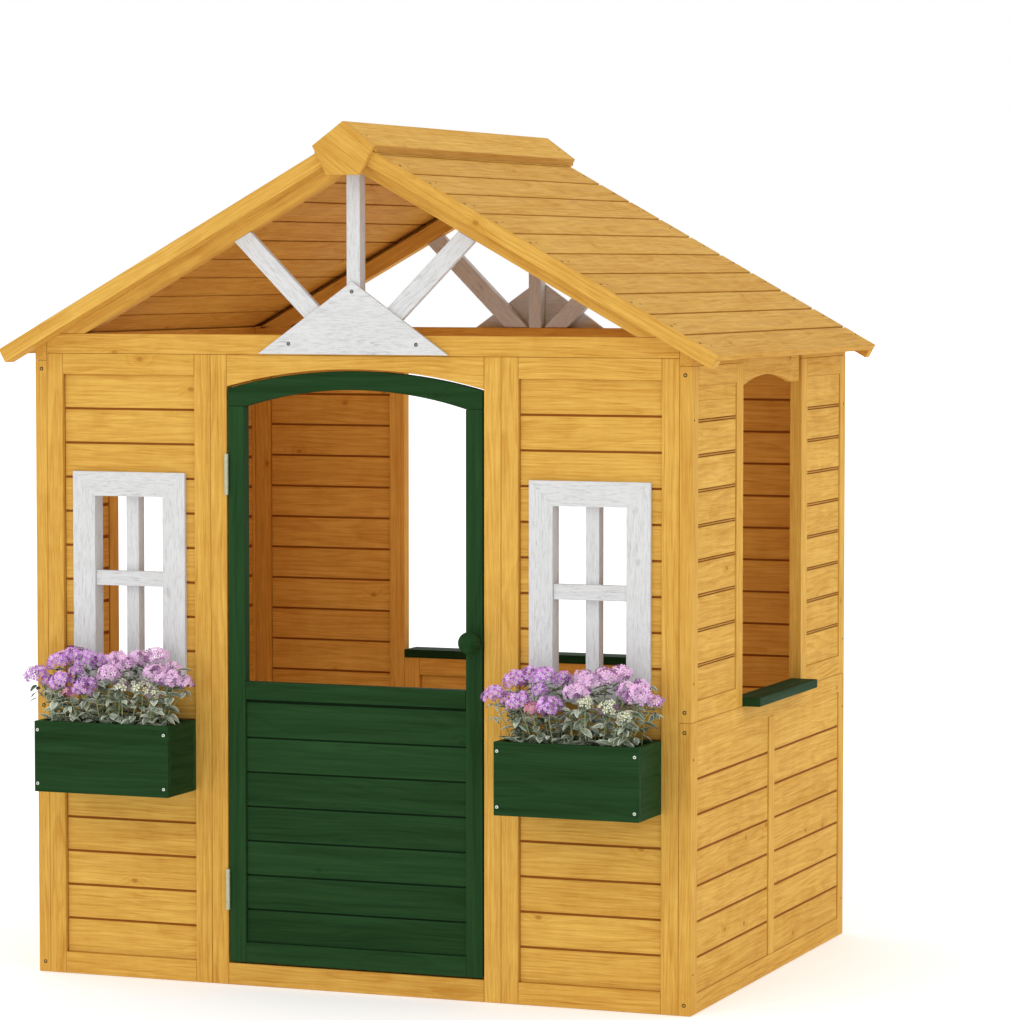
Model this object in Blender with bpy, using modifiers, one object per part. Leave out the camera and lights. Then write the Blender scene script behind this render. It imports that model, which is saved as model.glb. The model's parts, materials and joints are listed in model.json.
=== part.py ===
"""A child's wooden playhouse, as an assembly of its real pieces.

Boarded wall panels stand in a rectangle, the side walls outside the front and back ones. Two open
trusses carry a boarded gable roof with a ridge cap. The front wall holds an arched stable-style
door on two butt hinges, two barred windows and two planter boxes with flowers. The back and side
walls have open serving hatches with sills.

Metres, +Z up, front towards -Y. The origin is on the ground, under the middle of the whole object.
"""

import math

import bmesh
import bpy
from mathutils import Matrix, Vector

GAP = 0.0003                  # clearance between pieces that touch

# Overall
WALL_WIDTH = 1.100            # outside the side walls
WALL_DEPTH = 0.814            # front face to back face
SIDE_THICKNESS = 0.020
PANEL_THICKNESS = 0.022       # front and back walls
FLOWER_REACH = 0.110          # flowers in front of the front wall
RIDGE_OVERHANG = 0.0405       # ridge end plate past either wall face
FRONT_Y = FLOWER_REACH - (FLOWER_REACH + WALL_DEPTH + RIDGE_OVERHANG) / 2
BACK_Y = FRONT_Y + WALL_DEPTH
MIDDLE_Y = (FRONT_Y + BACK_Y) / 2
SIDE_X = WALL_WIDTH / 2
INNER_X = SIDE_X - SIDE_THICKNESS - GAP

# Boarding
RECESS = 0.007                # boards behind the face of their stiles and rails
BOARD_THICKNESS = 0.008
SIDE_RECESS = 0.002
GROOVE_WIDTH = 0.003
GROOVE_DEPTH = 0.002

# Front and back walls
PANEL_HEIGHT = 0.9907
PANEL_STILE = 0.0278
PANEL_RAIL = 0.034
PANEL_BOARDS = 17
PANEL_PITCH = 0.05434
JAMB_OUTER_X = 0.2436
DOORWAY_X = 0.216
PANEL_X = (INNER_X + JAMB_OUTER_X + GAP) / 2
PANEL_WIDTH = INNER_X - JAMB_OUTER_X - GAP

# Half-height walls, below the hatches
LOW_HEIGHT = 0.4435
LOW_RAIL = 0.030
LOW_BOARDS = 7
LOW_JOINT = 0.0843            # top of the lowest board
LOW_PITCH = 0.0543
LOW_BOARDS_TOP = 0.4134
CENTRE_STILE = 0.030
SILL_THICKNESS = 0.014
SILL_OVERHANG = 0.029

# Side walls, above the seam
UPPER_Z = LOW_HEIGHT + GAP
UPPER_TOP = 0.9793
UPPER_RAIL = 0.031
UPPER_BOARDS = 9
UPPER_PITCH = 0.0527
END_STILE = 0.030
HATCH_STILE = 0.0325
HATCH_HALF = 0.1555           # half the width of a side hatch
UPPER_WIDTH = WALL_DEPTH / 2 - HATCH_HALF

# Side hatch header, a board with an arch cut off centre
HEADER_FACE = 0.003           # behind the wall face
HEADER_THICKNESS = 0.0097
HEADER_BOTTOM = 0.943
HEADER_TOP = 1.014
HEADER_RISE = 0.0153
HEADER_FRONT = -HATCH_HALF + GAP
HEADER_BACK = 0.1485
ARCH_FRONT = -0.149
ARCH_BACK = 0.105

# Doorway and door
THRESHOLD_HEIGHT = 0.034
DOORWAY_SPRING = 0.9411
DOORWAY_PEAK = 0.9697
DOOR_X = 0.2132
DOOR_THICKNESS = 0.019
DOOR_BOTTOM = 0.0366
DOOR_SPRING = 0.9385
DOOR_PEAK = 0.9668
DOOR_STILE = 0.0274
DOOR_RAIL_TOP = 0.0682        # top of the bottom rail
DOOR_MID_BOTTOM = 0.4516
DOOR_MID_TOP = 0.4794
LIGHT_SPRING = 0.9105         # open upper half of the door
LIGHT_PEAK = 0.9377
DOOR_RECESS = 0.005
DOOR_BOARDS = 7
DOOR_JOINT = 0.1203           # top of the lowest board
DOOR_PITCH = 0.0542
KNOB_RADIUS = 0.017
KNOB_X = 0.2000
KNOB_Z = 0.555
KNOB_REACH = 0.022            # ball centre in front of the door face

# Butt hinges, three knuckles on the jamb leaf and two on the door leaf
HINGE_X = -(DOORWAY_X + DOOR_X) / 2
KNUCKLE_RADIUS = 0.0034
HINGE_Y = FRONT_Y - KNUCKLE_RADIUS - 0.0002
PIN_RADIUS = 0.0013
PIN_CLEARANCE = 0.0003
HINGE_HEIGHT = 0.064
KNUCKLES = 5
LEAF_THICKNESS = 0.0008
LEAF_DEPTH = 0.018
HINGE_BOTTOMS = {"lower": 0.119, "upper": 0.772}

# Windows
TRIM_WIDTH = 0.1955
TRIM_BOTTOM = 0.468
TRIM_TOP = 0.8042
TRIM_BOARD = 0.0385
INNER_TRIM_THICKNESS = 0.013
UPRIGHT_BAR = 0.0215
CROSS_BAR = 0.0235
CROSS_BAR_Z = 0.6356

# Planters and flowers
PLANTER_WIDTH = 0.232
PLANTER_DEPTH = 0.102
PLANTER_BOTTOM = 0.3045
PLANTER_TOP = 0.416
PLANTER_BOARD = 0.010
FLOWERS_WIDTH = 0.256
FLOWERS_TOP = 0.535
FLOWERS_ROUNDING = 0.022

# Roof
SLOPE = math.radians(29.0)
ROOF_TOP = 1.3292             # where the two slopes of boards would meet
EAVE_LENGTH = 0.6857          # from there down the slope
DECK_THICKNESS = 0.010
DECK_BOARDS = 11
ROOF_FRONT = FRONT_Y - 0.0303
FASCIA_THICKNESS = 0.0055
ROOF_BACK = BACK_Y + 0.009
EDGE_DEPTH = 0.024            # edge boards, square to the slope
TAIL_THICKNESS = 0.022

# Ridge cap
CAP_TOP = 1.350
CAP_CORNER_X = 0.0512
CAP_CORNER_Z = 1.3125
CAP_BOTTOM_X = 0.0277
CAP_BOTTOM_Z = 1.2677
CAP_PLATE = 0.010
CAP_BOARD = 0.009

# Trusses
TIE_BOTTOM = PANEL_HEIGHT + GAP
TIE_TOP = 1.0222
RAFTER_DEPTH = 0.034
TRUSS_THICKNESS = 0.022
KING_WIDTH = 0.0225
STRUT_WIDTH = 0.030
STRUT_THICKNESS = {"front": 0.011, "back": 0.018}
RAFTER_DROP = {"front": 0.0, "back": 0.0042}     # from the deck down to the rafter, upright
STRUT_FOOT_Z = 0.9868         # the struts' centre lines meet here
GUSSET_HALF = 0.1593
GUSSET_BOTTOM = 0.9925
GUSSET_TOP = 1.105
GUSSET_THICKNESS = 0.006

HONEY = ("honey_wood", (0.72, 0.40, 0.11), 0.55, 0.0)
WHITE = ("white_wood", (0.80, 0.81, 0.83), 0.60, 0.0)
GREEN = ("green_paint", (0.02, 0.075, 0.03), 0.45, 0.0)
STEEL = ("steel", (0.70, 0.69, 0.66), 0.30, 1.0)
BLOOM = ("flowers", (0.52, 0.27, 0.60), 0.80, 0.0)


def clear_scene():
    for obj in list(bpy.data.objects):
        bpy.data.objects.remove(obj, do_unlink=True)


def new_collection(name):
    collection = bpy.data.collections.new(name)
    bpy.context.scene.collection.children.link(collection)
    return collection


def make_material(owner, look):
    """Each piece has its own Principled material, named after it."""
    _, colour, roughness, metallic = look
    material = bpy.data.materials.new(owner + "_" + look[0])
    material.use_nodes = True
    shader = material.node_tree.nodes["Principled BSDF"]
    shader.inputs["Base Color"].default_value = (*colour, 1.0)
    shader.inputs["Roughness"].default_value = roughness
    shader.inputs["Metallic"].default_value = metallic
    return material


def add_object(name, mesh, look, collection):
    """A piece with a look, or a cutter or helper without one."""
    obj = bpy.data.objects.new(name, mesh)
    collection.objects.link(obj)
    if look:
        mesh.materials.append(make_material(name, look))
    else:
        obj.hide_render = True
        obj.display_type = "WIRE"
    return obj


def box(name, low, high, look=None):
    low = Vector(low)
    high = Vector(high)
    shape = bmesh.new()
    bmesh.ops.create_cube(shape, size=1.0)
    bmesh.ops.scale(shape, vec=high - low, verts=shape.verts)
    bmesh.ops.translate(shape, vec=(low + high) / 2, verts=shape.verts)
    mesh = bpy.data.meshes.new(name)
    shape.to_mesh(mesh)
    shape.free()
    return add_object(name, mesh, look, PARTS if look else CUTTERS)


def upright_drum(name, centre, bottom, top, radius, sides=24):
    """A closed cylinder about a vertical axis."""
    shape = bmesh.new()
    bmesh.ops.create_cone(
        shape, cap_ends=True, segments=sides, radius1=radius, radius2=radius, depth=top - bottom
    )
    bmesh.ops.translate(shape, vec=(centre[0], centre[1], (bottom + top) / 2), verts=shape.verts)
    mesh = bpy.data.meshes.new(name)
    shape.to_mesh(mesh)
    shape.free()
    return add_object(name, mesh, None, CUTTERS)


# A flat outline is drawn in the curve's own XY plane and pushed through along its Z. These turn it
# so that the outline lies in the world's XZ plane (pushed along Y), or YZ plane (pushed along X).
OUTLINE_TURNS = {
    "XZ": Matrix(((1, 0, 0, 0), (0, 0, -1, 0), (0, 1, 0, 0), (0, 0, 0, 1))),
    "YZ": Matrix(((0, 0, 1, 0), (1, 0, 0, 0), (0, 1, 0, 0), (0, 0, 0, 1))),
}


def prism(name, outlines, plane, start, end, look=None):
    """A flat outline, with any holes as further outlines, between two distances along its normal."""
    curve = bpy.data.curves.new(name, "CURVE")
    curve.dimensions = "2D"
    curve.fill_mode = "BOTH"
    curve.extrude = (end - start) / 2
    for outline in outlines:
        spline = curve.splines.new("POLY")
        spline.points.add(len(outline) - 1)
        for point, (across, up) in zip(spline.points, outline):
            point.co = (across, up, 0.0, 1.0)
        spline.use_cyclic_u = True
    drawn = bpy.data.objects.new(name + "_outline", curve)
    CUTTERS.objects.link(drawn)
    bpy.context.view_layer.update()
    graph = bpy.context.evaluated_depsgraph_get()
    mesh = bpy.data.meshes.new_from_object(drawn.evaluated_get(graph))
    bpy.data.objects.remove(drawn)
    middle = (start + end) / 2
    along = Vector((0, middle, 0)) if plane == "XZ" else Vector((middle, 0, 0))
    mesh.transform(Matrix.Translation(along) @ OUTLINE_TURNS[plane])
    shape = bmesh.new()
    shape.from_mesh(mesh)
    bmesh.ops.remove_doubles(shape, verts=shape.verts, dist=0.00001)
    bmesh.ops.recalc_face_normals(shape, faces=shape.faces)
    shape.to_mesh(mesh)
    shape.free()
    mesh.name = name
    return add_object(name, mesh, look, PARTS if look else CUTTERS)


def boolean(piece, other, operation):
    modifier = piece.modifiers.new(other.name, "BOOLEAN")
    modifier.operation = operation
    modifier.object = other


def place(obj, location, turn_degrees):
    obj.location = location
    obj.rotation_euler = (0.0, 0.0, math.radians(turn_degrees))


def arc(x_from, x_to, spring, peak, steps=16):
    """Points of a circular arch from one spring point to the other, ends included."""
    half = abs(x_to - x_from) / 2
    rise = peak - spring
    radius = (half * half + rise * rise) / (2 * rise)
    middle = (x_from + x_to) / 2
    sweep = math.asin(half / radius)
    side = 1 if x_to > x_from else -1
    points = []
    for step in range(steps + 1):
        angle = sweep * (2 * step / steps - 1)
        points.append((middle + side * radius * math.sin(angle),
                       peak - radius + radius * math.cos(angle)))
    return points


def clip(outline, corner, keep):
    """The part of a convex outline on the side of corner that keep points to."""
    kept = []
    for here, after in zip(outline, outline[1:] + outline[:1]):
        in_here = (here[0] - corner[0]) * keep[0] + (here[1] - corner[1]) * keep[1]
        in_after = (after[0] - corner[0]) * keep[0] + (after[1] - corner[1]) * keep[1]
        if in_here >= 0:
            kept.append(here)
        if in_here * in_after < 0:
            share = in_here / (in_here - in_after)
            kept.append((here[0] + share * (after[0] - here[0]),
                         here[1] + share * (after[1] - here[1])))
    return kept


def evenly(bottom, pitch, count):
    """Heights of the edges of boards that are all the same."""
    return [bottom + board * pitch for board in range(count + 1)]


def comb(face, recess, outward, levels):
    """Outline of a pocket down to the boards' surface, with a tooth for the groove between boards.

    It is given as depth and height. outward is -1 for the pocket in the outer face, and +1 for the
    one in the inner face. levels are the heights of the boards' edges, from the lowest up.
    """
    outside = face + outward * 0.005
    surface = face - outward * recess
    groove = surface - outward * GROOVE_DEPTH
    points = [(outside, levels[0]), (surface, levels[0])]
    for joint in levels[1:-1]:
        points += [
            (surface, joint - GROOVE_WIDTH / 2),
            (groove, joint - GROOVE_WIDTH / 2),
            (groove, joint + GROOVE_WIDTH / 2),
            (surface, joint + GROOVE_WIDTH / 2),
        ]
    return points + [(surface, levels[-1]), (outside, levels[-1])]


def boarded_panel(name, size, columns, levels, location, turn, look=HONEY, recess=RECESS):
    """A framed panel with horizontal boards let in between its stiles and rails.

    size is its width, thickness and height, and levels the heights of the boards' edges. Before it
    is placed, its outer face is at y = 0 and it spans x = 0 to its width.
    """
    width, thickness, height = size
    panel = box(name, (0, 0, 0), (width, thickness, height), look)
    place(panel, location, turn)
    inner_recess = thickness - recess - BOARD_THICKNESS
    for number, (left, right) in enumerate(columns):
        for side, face, outward, depth in (
            ("outer", 0.0, -1, recess),
            ("inner", thickness, 1, inner_recess),
        ):
            outline = comb(face, depth, outward, levels)
            pocket = prism(f"{name}_{side}_pocket_{number}", [outline], "YZ", left, right)
            place(pocket, location, turn)
            boolean(panel, pocket, "DIFFERENCE")
    return panel


def full_height_panel(name, centre_x, outer_y, turn):
    """One of the four full-height panels of the front and back walls."""
    size = (PANEL_WIDTH, PANEL_THICKNESS, PANEL_HEIGHT)
    column = (PANEL_STILE, PANEL_WIDTH - PANEL_STILE)
    levels = evenly(PANEL_RAIL, PANEL_PITCH, PANEL_BOARDS)
    left = -PANEL_WIDTH / 2 if turn == 0 else PANEL_WIDTH / 2
    return boarded_panel(name, size, [column], levels, (centre_x + left, outer_y, 0), turn)


def window_opening():
    """Low and high corner of the clear opening of a window centred on x = 0, as x and z."""
    half = TRIM_WIDTH / 2 - TRIM_BOARD
    return (-half, TRIM_BOTTOM + TRIM_BOARD), (half, TRIM_TOP - TRIM_BOARD)


def rectangle(low, high):
    return [low, (high[0], low[1]), high, (low[0], high[1])]


def shifted(outline, across):
    return [(x + across, z) for x, z in outline]


def build_window(side, centre_x, panel):
    """Trim outside and inside, and a cross of two bars in the opening."""
    low, high = window_opening()
    hole = shifted(rectangle(low, high), centre_x)
    rim = shifted(rectangle((-TRIM_WIDTH / 2, TRIM_BOTTOM), (TRIM_WIDTH / 2, TRIM_TOP)), centre_x)
    cutter = prism(f"window_hole_{side}", [hole], "XZ", FRONT_Y - 0.01, FRONT_Y + 0.04)
    boolean(panel, cutter, "DIFFERENCE")
    board_front = FRONT_Y + RECESS
    board_back = board_front + BOARD_THICKNESS
    prism(f"window_trim_{side}", [rim, hole], "XZ", FRONT_Y, board_front - GAP, WHITE)
    inner_face = board_back + GAP
    prism(f"window_inner_trim_{side}", [rim, hole], "XZ", inner_face,
          inner_face + INNER_TRIM_THICKNESS, WHITE)
    bars = box(
        f"window_bars_{side}",
        (centre_x + low[0] + GAP, FRONT_Y + 0.003, CROSS_BAR_Z - CROSS_BAR / 2),
        (centre_x + high[0] - GAP, board_back, CROSS_BAR_Z + CROSS_BAR / 2),
        WHITE,
    )
    upright = box(
        f"window_upright_{side}",
        (centre_x - UPRIGHT_BAR / 2, FRONT_Y + 0.014, low[1] + GAP),
        (centre_x + UPRIGHT_BAR / 2, FRONT_Y + 0.0345, high[1] - GAP),
    )
    boolean(bars, upright, "UNION")


def build_planter(side, centre_x):
    """A box of boards on the wall face, and a plain solid for the soil and flowers in it."""
    half = PLANTER_WIDTH / 2
    front = FRONT_Y - PLANTER_DEPTH
    back = FRONT_Y - GAP
    planter = box(f"planter_{side}", (centre_x - half, front, PLANTER_BOTTOM),
                  (centre_x + half, back, PLANTER_TOP), GREEN)
    cavity = box(
        f"planter_cavity_{side}",
        (centre_x - half + PLANTER_BOARD, front + PLANTER_BOARD, PLANTER_BOTTOM + PLANTER_BOARD),
        (centre_x + half - PLANTER_BOARD, back - PLANTER_BOARD, PLANTER_TOP + 0.02),
    )
    boolean(planter, cavity, "DIFFERENCE")
    inset = PLANTER_BOARD + GAP
    flowers = box(
        f"flowers_{side}",
        (centre_x - FLOWERS_WIDTH / 2, FRONT_Y - FLOWER_REACH, PLANTER_TOP + GAP),
        (centre_x + FLOWERS_WIDTH / 2, FRONT_Y - 2 * GAP, FLOWERS_TOP),
        BLOOM,
    )
    rounding = flowers.modifiers.new("rounding", "BEVEL")
    rounding.width = FLOWERS_ROUNDING
    rounding.segments = 3
    soil = box(
        f"soil_{side}",
        (centre_x - half + inset, front + inset, PLANTER_BOTTOM + inset),
        (centre_x + half - inset, back - inset, PLANTER_TOP + 0.03),
    )
    boolean(flowers, soil, "UNION")


def build_front_wall():
    for side, sign in (("left", -1), ("right", 1)):
        panel = full_height_panel(f"front_{side}_panel", sign * PANEL_X, FRONT_Y, 0)
        build_window(side, sign * PANEL_X, panel)
        build_planter(side, sign * PANEL_X)
        inner, outer = sorted((sign * DOORWAY_X, sign * JAMB_OUTER_X))
        box(f"door_jamb_{side}", (inner, FRONT_Y, 0),
            (outer, FRONT_Y + PANEL_THICKNESS, PANEL_HEIGHT), HONEY)
    reach = DOORWAY_X - GAP
    box("door_threshold", (-reach, FRONT_Y, 0),
        (reach, FRONT_Y + PANEL_THICKNESS, THRESHOLD_HEIGHT), HONEY)
    arch = arc(-reach, reach, DOORWAY_SPRING, DOORWAY_PEAK)
    outline = arch + [(reach, PANEL_HEIGHT), (-reach, PANEL_HEIGHT)]
    prism("door_header", [outline], "XZ", FRONT_Y, FRONT_Y + PANEL_THICKNESS, HONEY)


def build_door(axis):
    """Arched frame with an open upper half, boards below, and a turned knob."""
    back = FRONT_Y + DOOR_THICKNESS
    rim = arc(DOOR_X, -DOOR_X, DOOR_SPRING, DOOR_PEAK)
    rim += [(-DOOR_X, DOOR_BOTTOM), (DOOR_X, DOOR_BOTTOM)]
    inner = DOOR_X - DOOR_STILE
    light = arc(inner, -inner, LIGHT_SPRING, LIGHT_PEAK)
    light += [(-inner, DOOR_MID_TOP), (inner, DOOR_MID_TOP)]
    lower = rectangle((-inner, DOOR_RAIL_TOP), (inner, DOOR_MID_BOTTOM))
    frame = prism("door_frame", [rim, light, lower], "XZ", FRONT_Y, back, GREEN)

    joints = evenly(DOOR_JOINT, DOOR_PITCH, DOOR_BOARDS - 2)
    levels = [DOOR_RAIL_TOP + GAP] + joints + [DOOR_MID_BOTTOM - GAP]
    outer_face = FRONT_Y + DOOR_RECESS
    inner_face = outer_face + BOARD_THICKNESS
    outer = comb(outer_face, 0.0, -1, levels)[1:-1]
    rear = comb(inner_face, 0.0, 1, levels)[1:-1]
    boards = prism("door_boards", [outer + rear[::-1]], "YZ", -inner + GAP, inner - GAP, GREEN)
    for piece in (frame, boards):
        hang(piece, axis)
    hang(build_knob(), axis)


def build_knob():
    """A ball on a short neck and rose, turned about the line square to the door."""
    neck_radius = 0.008
    rose_radius = 0.011
    rose_depth = 0.003
    start = math.asin(neck_radius / KNOB_RADIUS)
    steps = 14
    outline = []
    for step in range(steps + 1):
        angle = (math.pi - start) * step / steps
        outline.append((KNOB_RADIUS * math.sin(angle), KNOB_REACH + KNOB_RADIUS * math.cos(angle)))
    outline += [(neck_radius, rose_depth), (rose_radius, rose_depth), (rose_radius, GAP), (0, GAP)]
    mesh = bpy.data.meshes.new("door_knob")
    edges = [(number, number + 1) for number in range(len(outline) - 1)]
    mesh.from_pydata([(radius, 0, height) for radius, height in outline], edges, [])
    knob = add_object("door_knob", mesh, GREEN, PARTS)
    knob.location = (KNOB_X, FRONT_Y, KNOB_Z)
    knob.rotation_euler = (math.pi / 2, 0, 0)
    turned = knob.modifiers.new("turned", "SCREW")
    turned.steps = 28
    turned.render_steps = 28
    turned.use_merge_vertices = True
    turned.merge_threshold = 0.00005
    turned.use_smooth_shade = True
    return knob


def hang(obj, axis):
    """Parents a piece to the empty on the hinge axis, leaving it where it is."""
    bpy.context.view_layer.update()
    obj.parent = axis
    obj.matrix_parent_inverse = Matrix.Translation(-axis.location)


def build_hinge(level, axis):
    """Two leaves folded together between door and jamb, with their knuckles on one pin."""
    bottom = HINGE_BOTTOMS[level]
    leaf_front = FRONT_Y + 0.0002
    leaf_back = FRONT_Y + LEAF_DEPTH
    knuckle = HINGE_HEIGHT / KNUCKLES
    plates = {
        "jamb": (-DOORWAY_X + 0.0001, -DOORWAY_X + 0.0001 + LEAF_THICKNESS, range(0, KNUCKLES, 2)),
        "door": (-DOOR_X - 0.0001 - LEAF_THICKNESS, -DOOR_X - 0.0001, range(1, KNUCKLES, 2)),
    }
    for owner, (left, right, turns) in plates.items():
        name = f"hinge_{level}_{owner}_leaf"
        leaf = box(name, (left, leaf_front, bottom), (right, leaf_back, bottom + HINGE_HEIGHT), STEEL)
        for turn in turns:
            low = bottom + turn * knuckle + (GAP / 2 if turn else 0.0)
            high = bottom + (turn + 1) * knuckle - (GAP / 2 if turn < KNUCKLES - 1 else 0.0)
            tab = box(f"{name}_tab_{turn}", (left, HINGE_Y, low), (right, leaf_front + 0.001, high))
            barrel = upright_drum(f"{name}_barrel_{turn}", (HINGE_X, HINGE_Y), low, high,
                                  KNUCKLE_RADIUS)
            boolean(leaf, tab, "UNION")
            boolean(leaf, barrel, "UNION")
        radius = PIN_RADIUS if owner == "jamb" else PIN_RADIUS + PIN_CLEARANCE
        core = upright_drum(f"{name}_core", (HINGE_X, HINGE_Y), bottom + 0.001,
                            bottom + HINGE_HEIGHT - 0.001, radius)
        boolean(leaf, core, "UNION" if owner == "jamb" else "DIFFERENCE")
        if owner == "door":
            hang(leaf, axis)


def low_levels():
    """Edges of the boards in the half-height walls, the highest of which is a little taller."""
    joints = evenly(LOW_JOINT, LOW_PITCH, LOW_BOARDS - 2)
    return [LOW_RAIL] + joints + [LOW_BOARDS_TOP]


def build_side_wall(side, sign):
    """Lower panel, the two panels beside the hatch, the arched header, the sill and the plate."""
    turn = 90 if sign > 0 else -90
    # A panel's x = 0 end is at the front on the right wall, and at the back on the left wall.
    start_y = FRONT_Y if sign > 0 else BACK_Y
    step = 1 if sign > 0 else -1
    face_x = sign * SIDE_X
    middle = WALL_DEPTH / 2
    low_columns = [
        (END_STILE, middle - CENTRE_STILE / 2),
        (middle + CENTRE_STILE / 2, WALL_DEPTH - END_STILE),
    ]
    boarded_panel(f"{side}_lower_panel", (WALL_DEPTH, SIDE_THICKNESS, LOW_HEIGHT), low_columns,
                  low_levels(), (face_x, start_y, 0), turn, recess=SIDE_RECESS)
    size = (UPPER_WIDTH, SIDE_THICKNESS, UPPER_TOP - UPPER_Z)
    levels = evenly(UPPER_RAIL, UPPER_PITCH, UPPER_BOARDS)
    first = [(END_STILE, UPPER_WIDTH - HATCH_STILE)]
    second = [(HATCH_STILE, UPPER_WIDTH - END_STILE)]
    names = ("front", "back") if sign > 0 else ("back", "front")
    offset = WALL_DEPTH - UPPER_WIDTH
    boarded_panel(f"{side}_{names[0]}_upper_panel", size, first, levels,
                  (face_x, start_y, UPPER_Z), turn, recess=SIDE_RECESS)
    boarded_panel(f"{side}_{names[1]}_upper_panel", size, second, levels,
                  (face_x, start_y + step * offset, UPPER_Z), turn, recess=SIDE_RECESS)

    # The left wall is the right wall turned half round, so its header's arch is off centre the
    # other way.
    arch = arc(step * ARCH_FRONT, step * ARCH_BACK, HEADER_BOTTOM, HEADER_BOTTOM + HEADER_RISE)
    front, back = step * HEADER_FRONT, step * HEADER_BACK
    header = [(front, HEADER_BOTTOM)] + arch + [(back, HEADER_BOTTOM), (back, HEADER_TOP),
                                                (front, HEADER_TOP)]
    header_outer = sign * (SIDE_X - HEADER_FACE)
    header_inner = header_outer - sign * HEADER_THICKNESS
    prism(f"{side}_hatch_header", [shifted(header, MIDDLE_Y)], "YZ",
          *sorted((header_outer, header_inner)), HONEY)

    sill_outer = sign * (SIDE_X + SILL_OVERHANG)
    sill_inner = sign * (SIDE_X - SIDE_THICKNESS + 0.003)
    low_x, high_x = sorted((sill_outer, sill_inner))
    box(f"{side}_sill", (low_x, MIDDLE_Y - HATCH_HALF + GAP, UPPER_Z),
        (high_x, MIDDLE_Y + HATCH_HALF - GAP, UPPER_Z + SILL_THICKNESS), GREEN)

    inner = SIDE_X - SIDE_THICKNESS
    outline = [(sign * inner, UPPER_TOP + GAP), (sign * SIDE_X, UPPER_TOP + GAP),
               (sign * SIDE_X, under_deck(SIDE_X)), (sign * inner, under_deck(inner))]
    plate = prism(f"{side}_wall_plate", [outline], "XZ", FRONT_Y, BACK_Y, HONEY)
    notch_low, notch_high = sorted((header_inner - sign * GAP, sign * (SIDE_X + 0.01)))
    notch = box(f"{side}_plate_notch", (notch_low, MIDDLE_Y - HATCH_HALF, UPPER_TOP - 0.01),
                (notch_high, MIDDLE_Y + HATCH_HALF, HEADER_TOP + 0.02))
    boolean(plate, notch, "DIFFERENCE")


def build_back_wall():
    for side, sign in (("left", -1), ("right", 1)):
        full_height_panel(f"back_{side}_panel", sign * PANEL_X, BACK_Y, 180)
    half = JAMB_OUTER_X
    columns = [(PANEL_STILE, 2 * half - PANEL_STILE)]
    boarded_panel("back_lower_panel", (2 * half, PANEL_THICKNESS, LOW_HEIGHT), columns,
                  low_levels(), (half, BACK_Y, 0), 180)
    box("back_sill", (-half, BACK_Y - PANEL_THICKNESS - 0.002, UPPER_Z),
        (half, BACK_Y + SILL_OVERHANG, UPPER_Z + SILL_THICKNESS), GREEN)


def under_deck(x):
    """Height of the roof boards' underside at a distance from the ridge line, less the gap."""
    return ROOF_TOP - DECK_THICKNESS / math.cos(SLOPE) - x * math.tan(SLOPE) - GAP


def rafter_line(x):
    """Height of the rafters' lower edge."""
    return under_deck(x) - RAFTER_DEPTH / math.cos(SLOPE)


def mirrored(outline):
    return [(-x, z) for x, z in reversed(outline)]


def build_truss(end, face_y, inward):
    """Tie beam, rafters, king post, two struts and the gusset over their feet."""
    def span(front, thickness):
        return sorted((face_y + inward * front, face_y + inward * (front + thickness)))

    body = span(0.0, TRUSS_THICKNESS)
    box(f"{end}_tie_beam", (-INNER_X, body[0], TIE_BOTTOM), (INNER_X, body[1], TIE_TOP), HONEY)

    drop = RAFTER_DROP[end]
    rafter = [(0.0, under_deck(0.0) - drop), (0.0, rafter_line(0.0)),
              (INNER_X, rafter_line(INNER_X)), (INNER_X, under_deck(INNER_X) - drop)]
    rafter = clip(rafter, (GAP / 2, 0.0), (1, 0))
    rafter = clip(rafter, (0.0, TIE_TOP + GAP), (0, 1))
    prism(f"{end}_rafter_right", [rafter], "XZ", *body, HONEY)
    prism(f"{end}_rafter_left", [mirrored(rafter)], "XZ", *body, HONEY)

    half = KING_WIDTH / 2
    foot = TIE_TOP + GAP
    king = [(-half, foot), (half, foot), (half, rafter_line(half) - GAP),
            (0.0, rafter_line(0.0) - GAP), (-half, rafter_line(half) - GAP)]
    prism(f"{end}_king_post", [king], "XZ", *body, WHITE)

    # A strut is a band at 45 degrees from the foot of the truss, cut off by its neighbours.
    side = STRUT_WIDTH / 2 * math.sqrt(2)
    reach = 0.5
    strut = [(0.0, STRUT_FOOT_Z - side), (reach, STRUT_FOOT_Z + reach - side),
             (reach, STRUT_FOOT_Z + reach + side), (0.0, STRUT_FOOT_Z + side)]
    strut = clip(strut, (half + GAP, 0.0), (1, 0))
    strut = clip(strut, (0.0, foot), (0, 1))
    strut = clip(strut, (0.0, rafter_line(0.0) - GAP), (-math.sin(SLOPE), -math.cos(SLOPE)))
    thickness = span(0.0, STRUT_THICKNESS[end])
    prism(f"{end}_strut_right", [strut], "XZ", *thickness, WHITE)
    prism(f"{end}_strut_left", [mirrored(strut)], "XZ", *thickness, WHITE)

    gusset = [(-GUSSET_HALF, GUSSET_BOTTOM), (GUSSET_HALF, GUSSET_BOTTOM), (0.0, GUSSET_TOP)]
    prism(f"{end}_gusset", [gusset], "XZ",
          *span(-GUSSET_THICKNESS - GAP, GUSSET_THICKNESS), WHITE)


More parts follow.
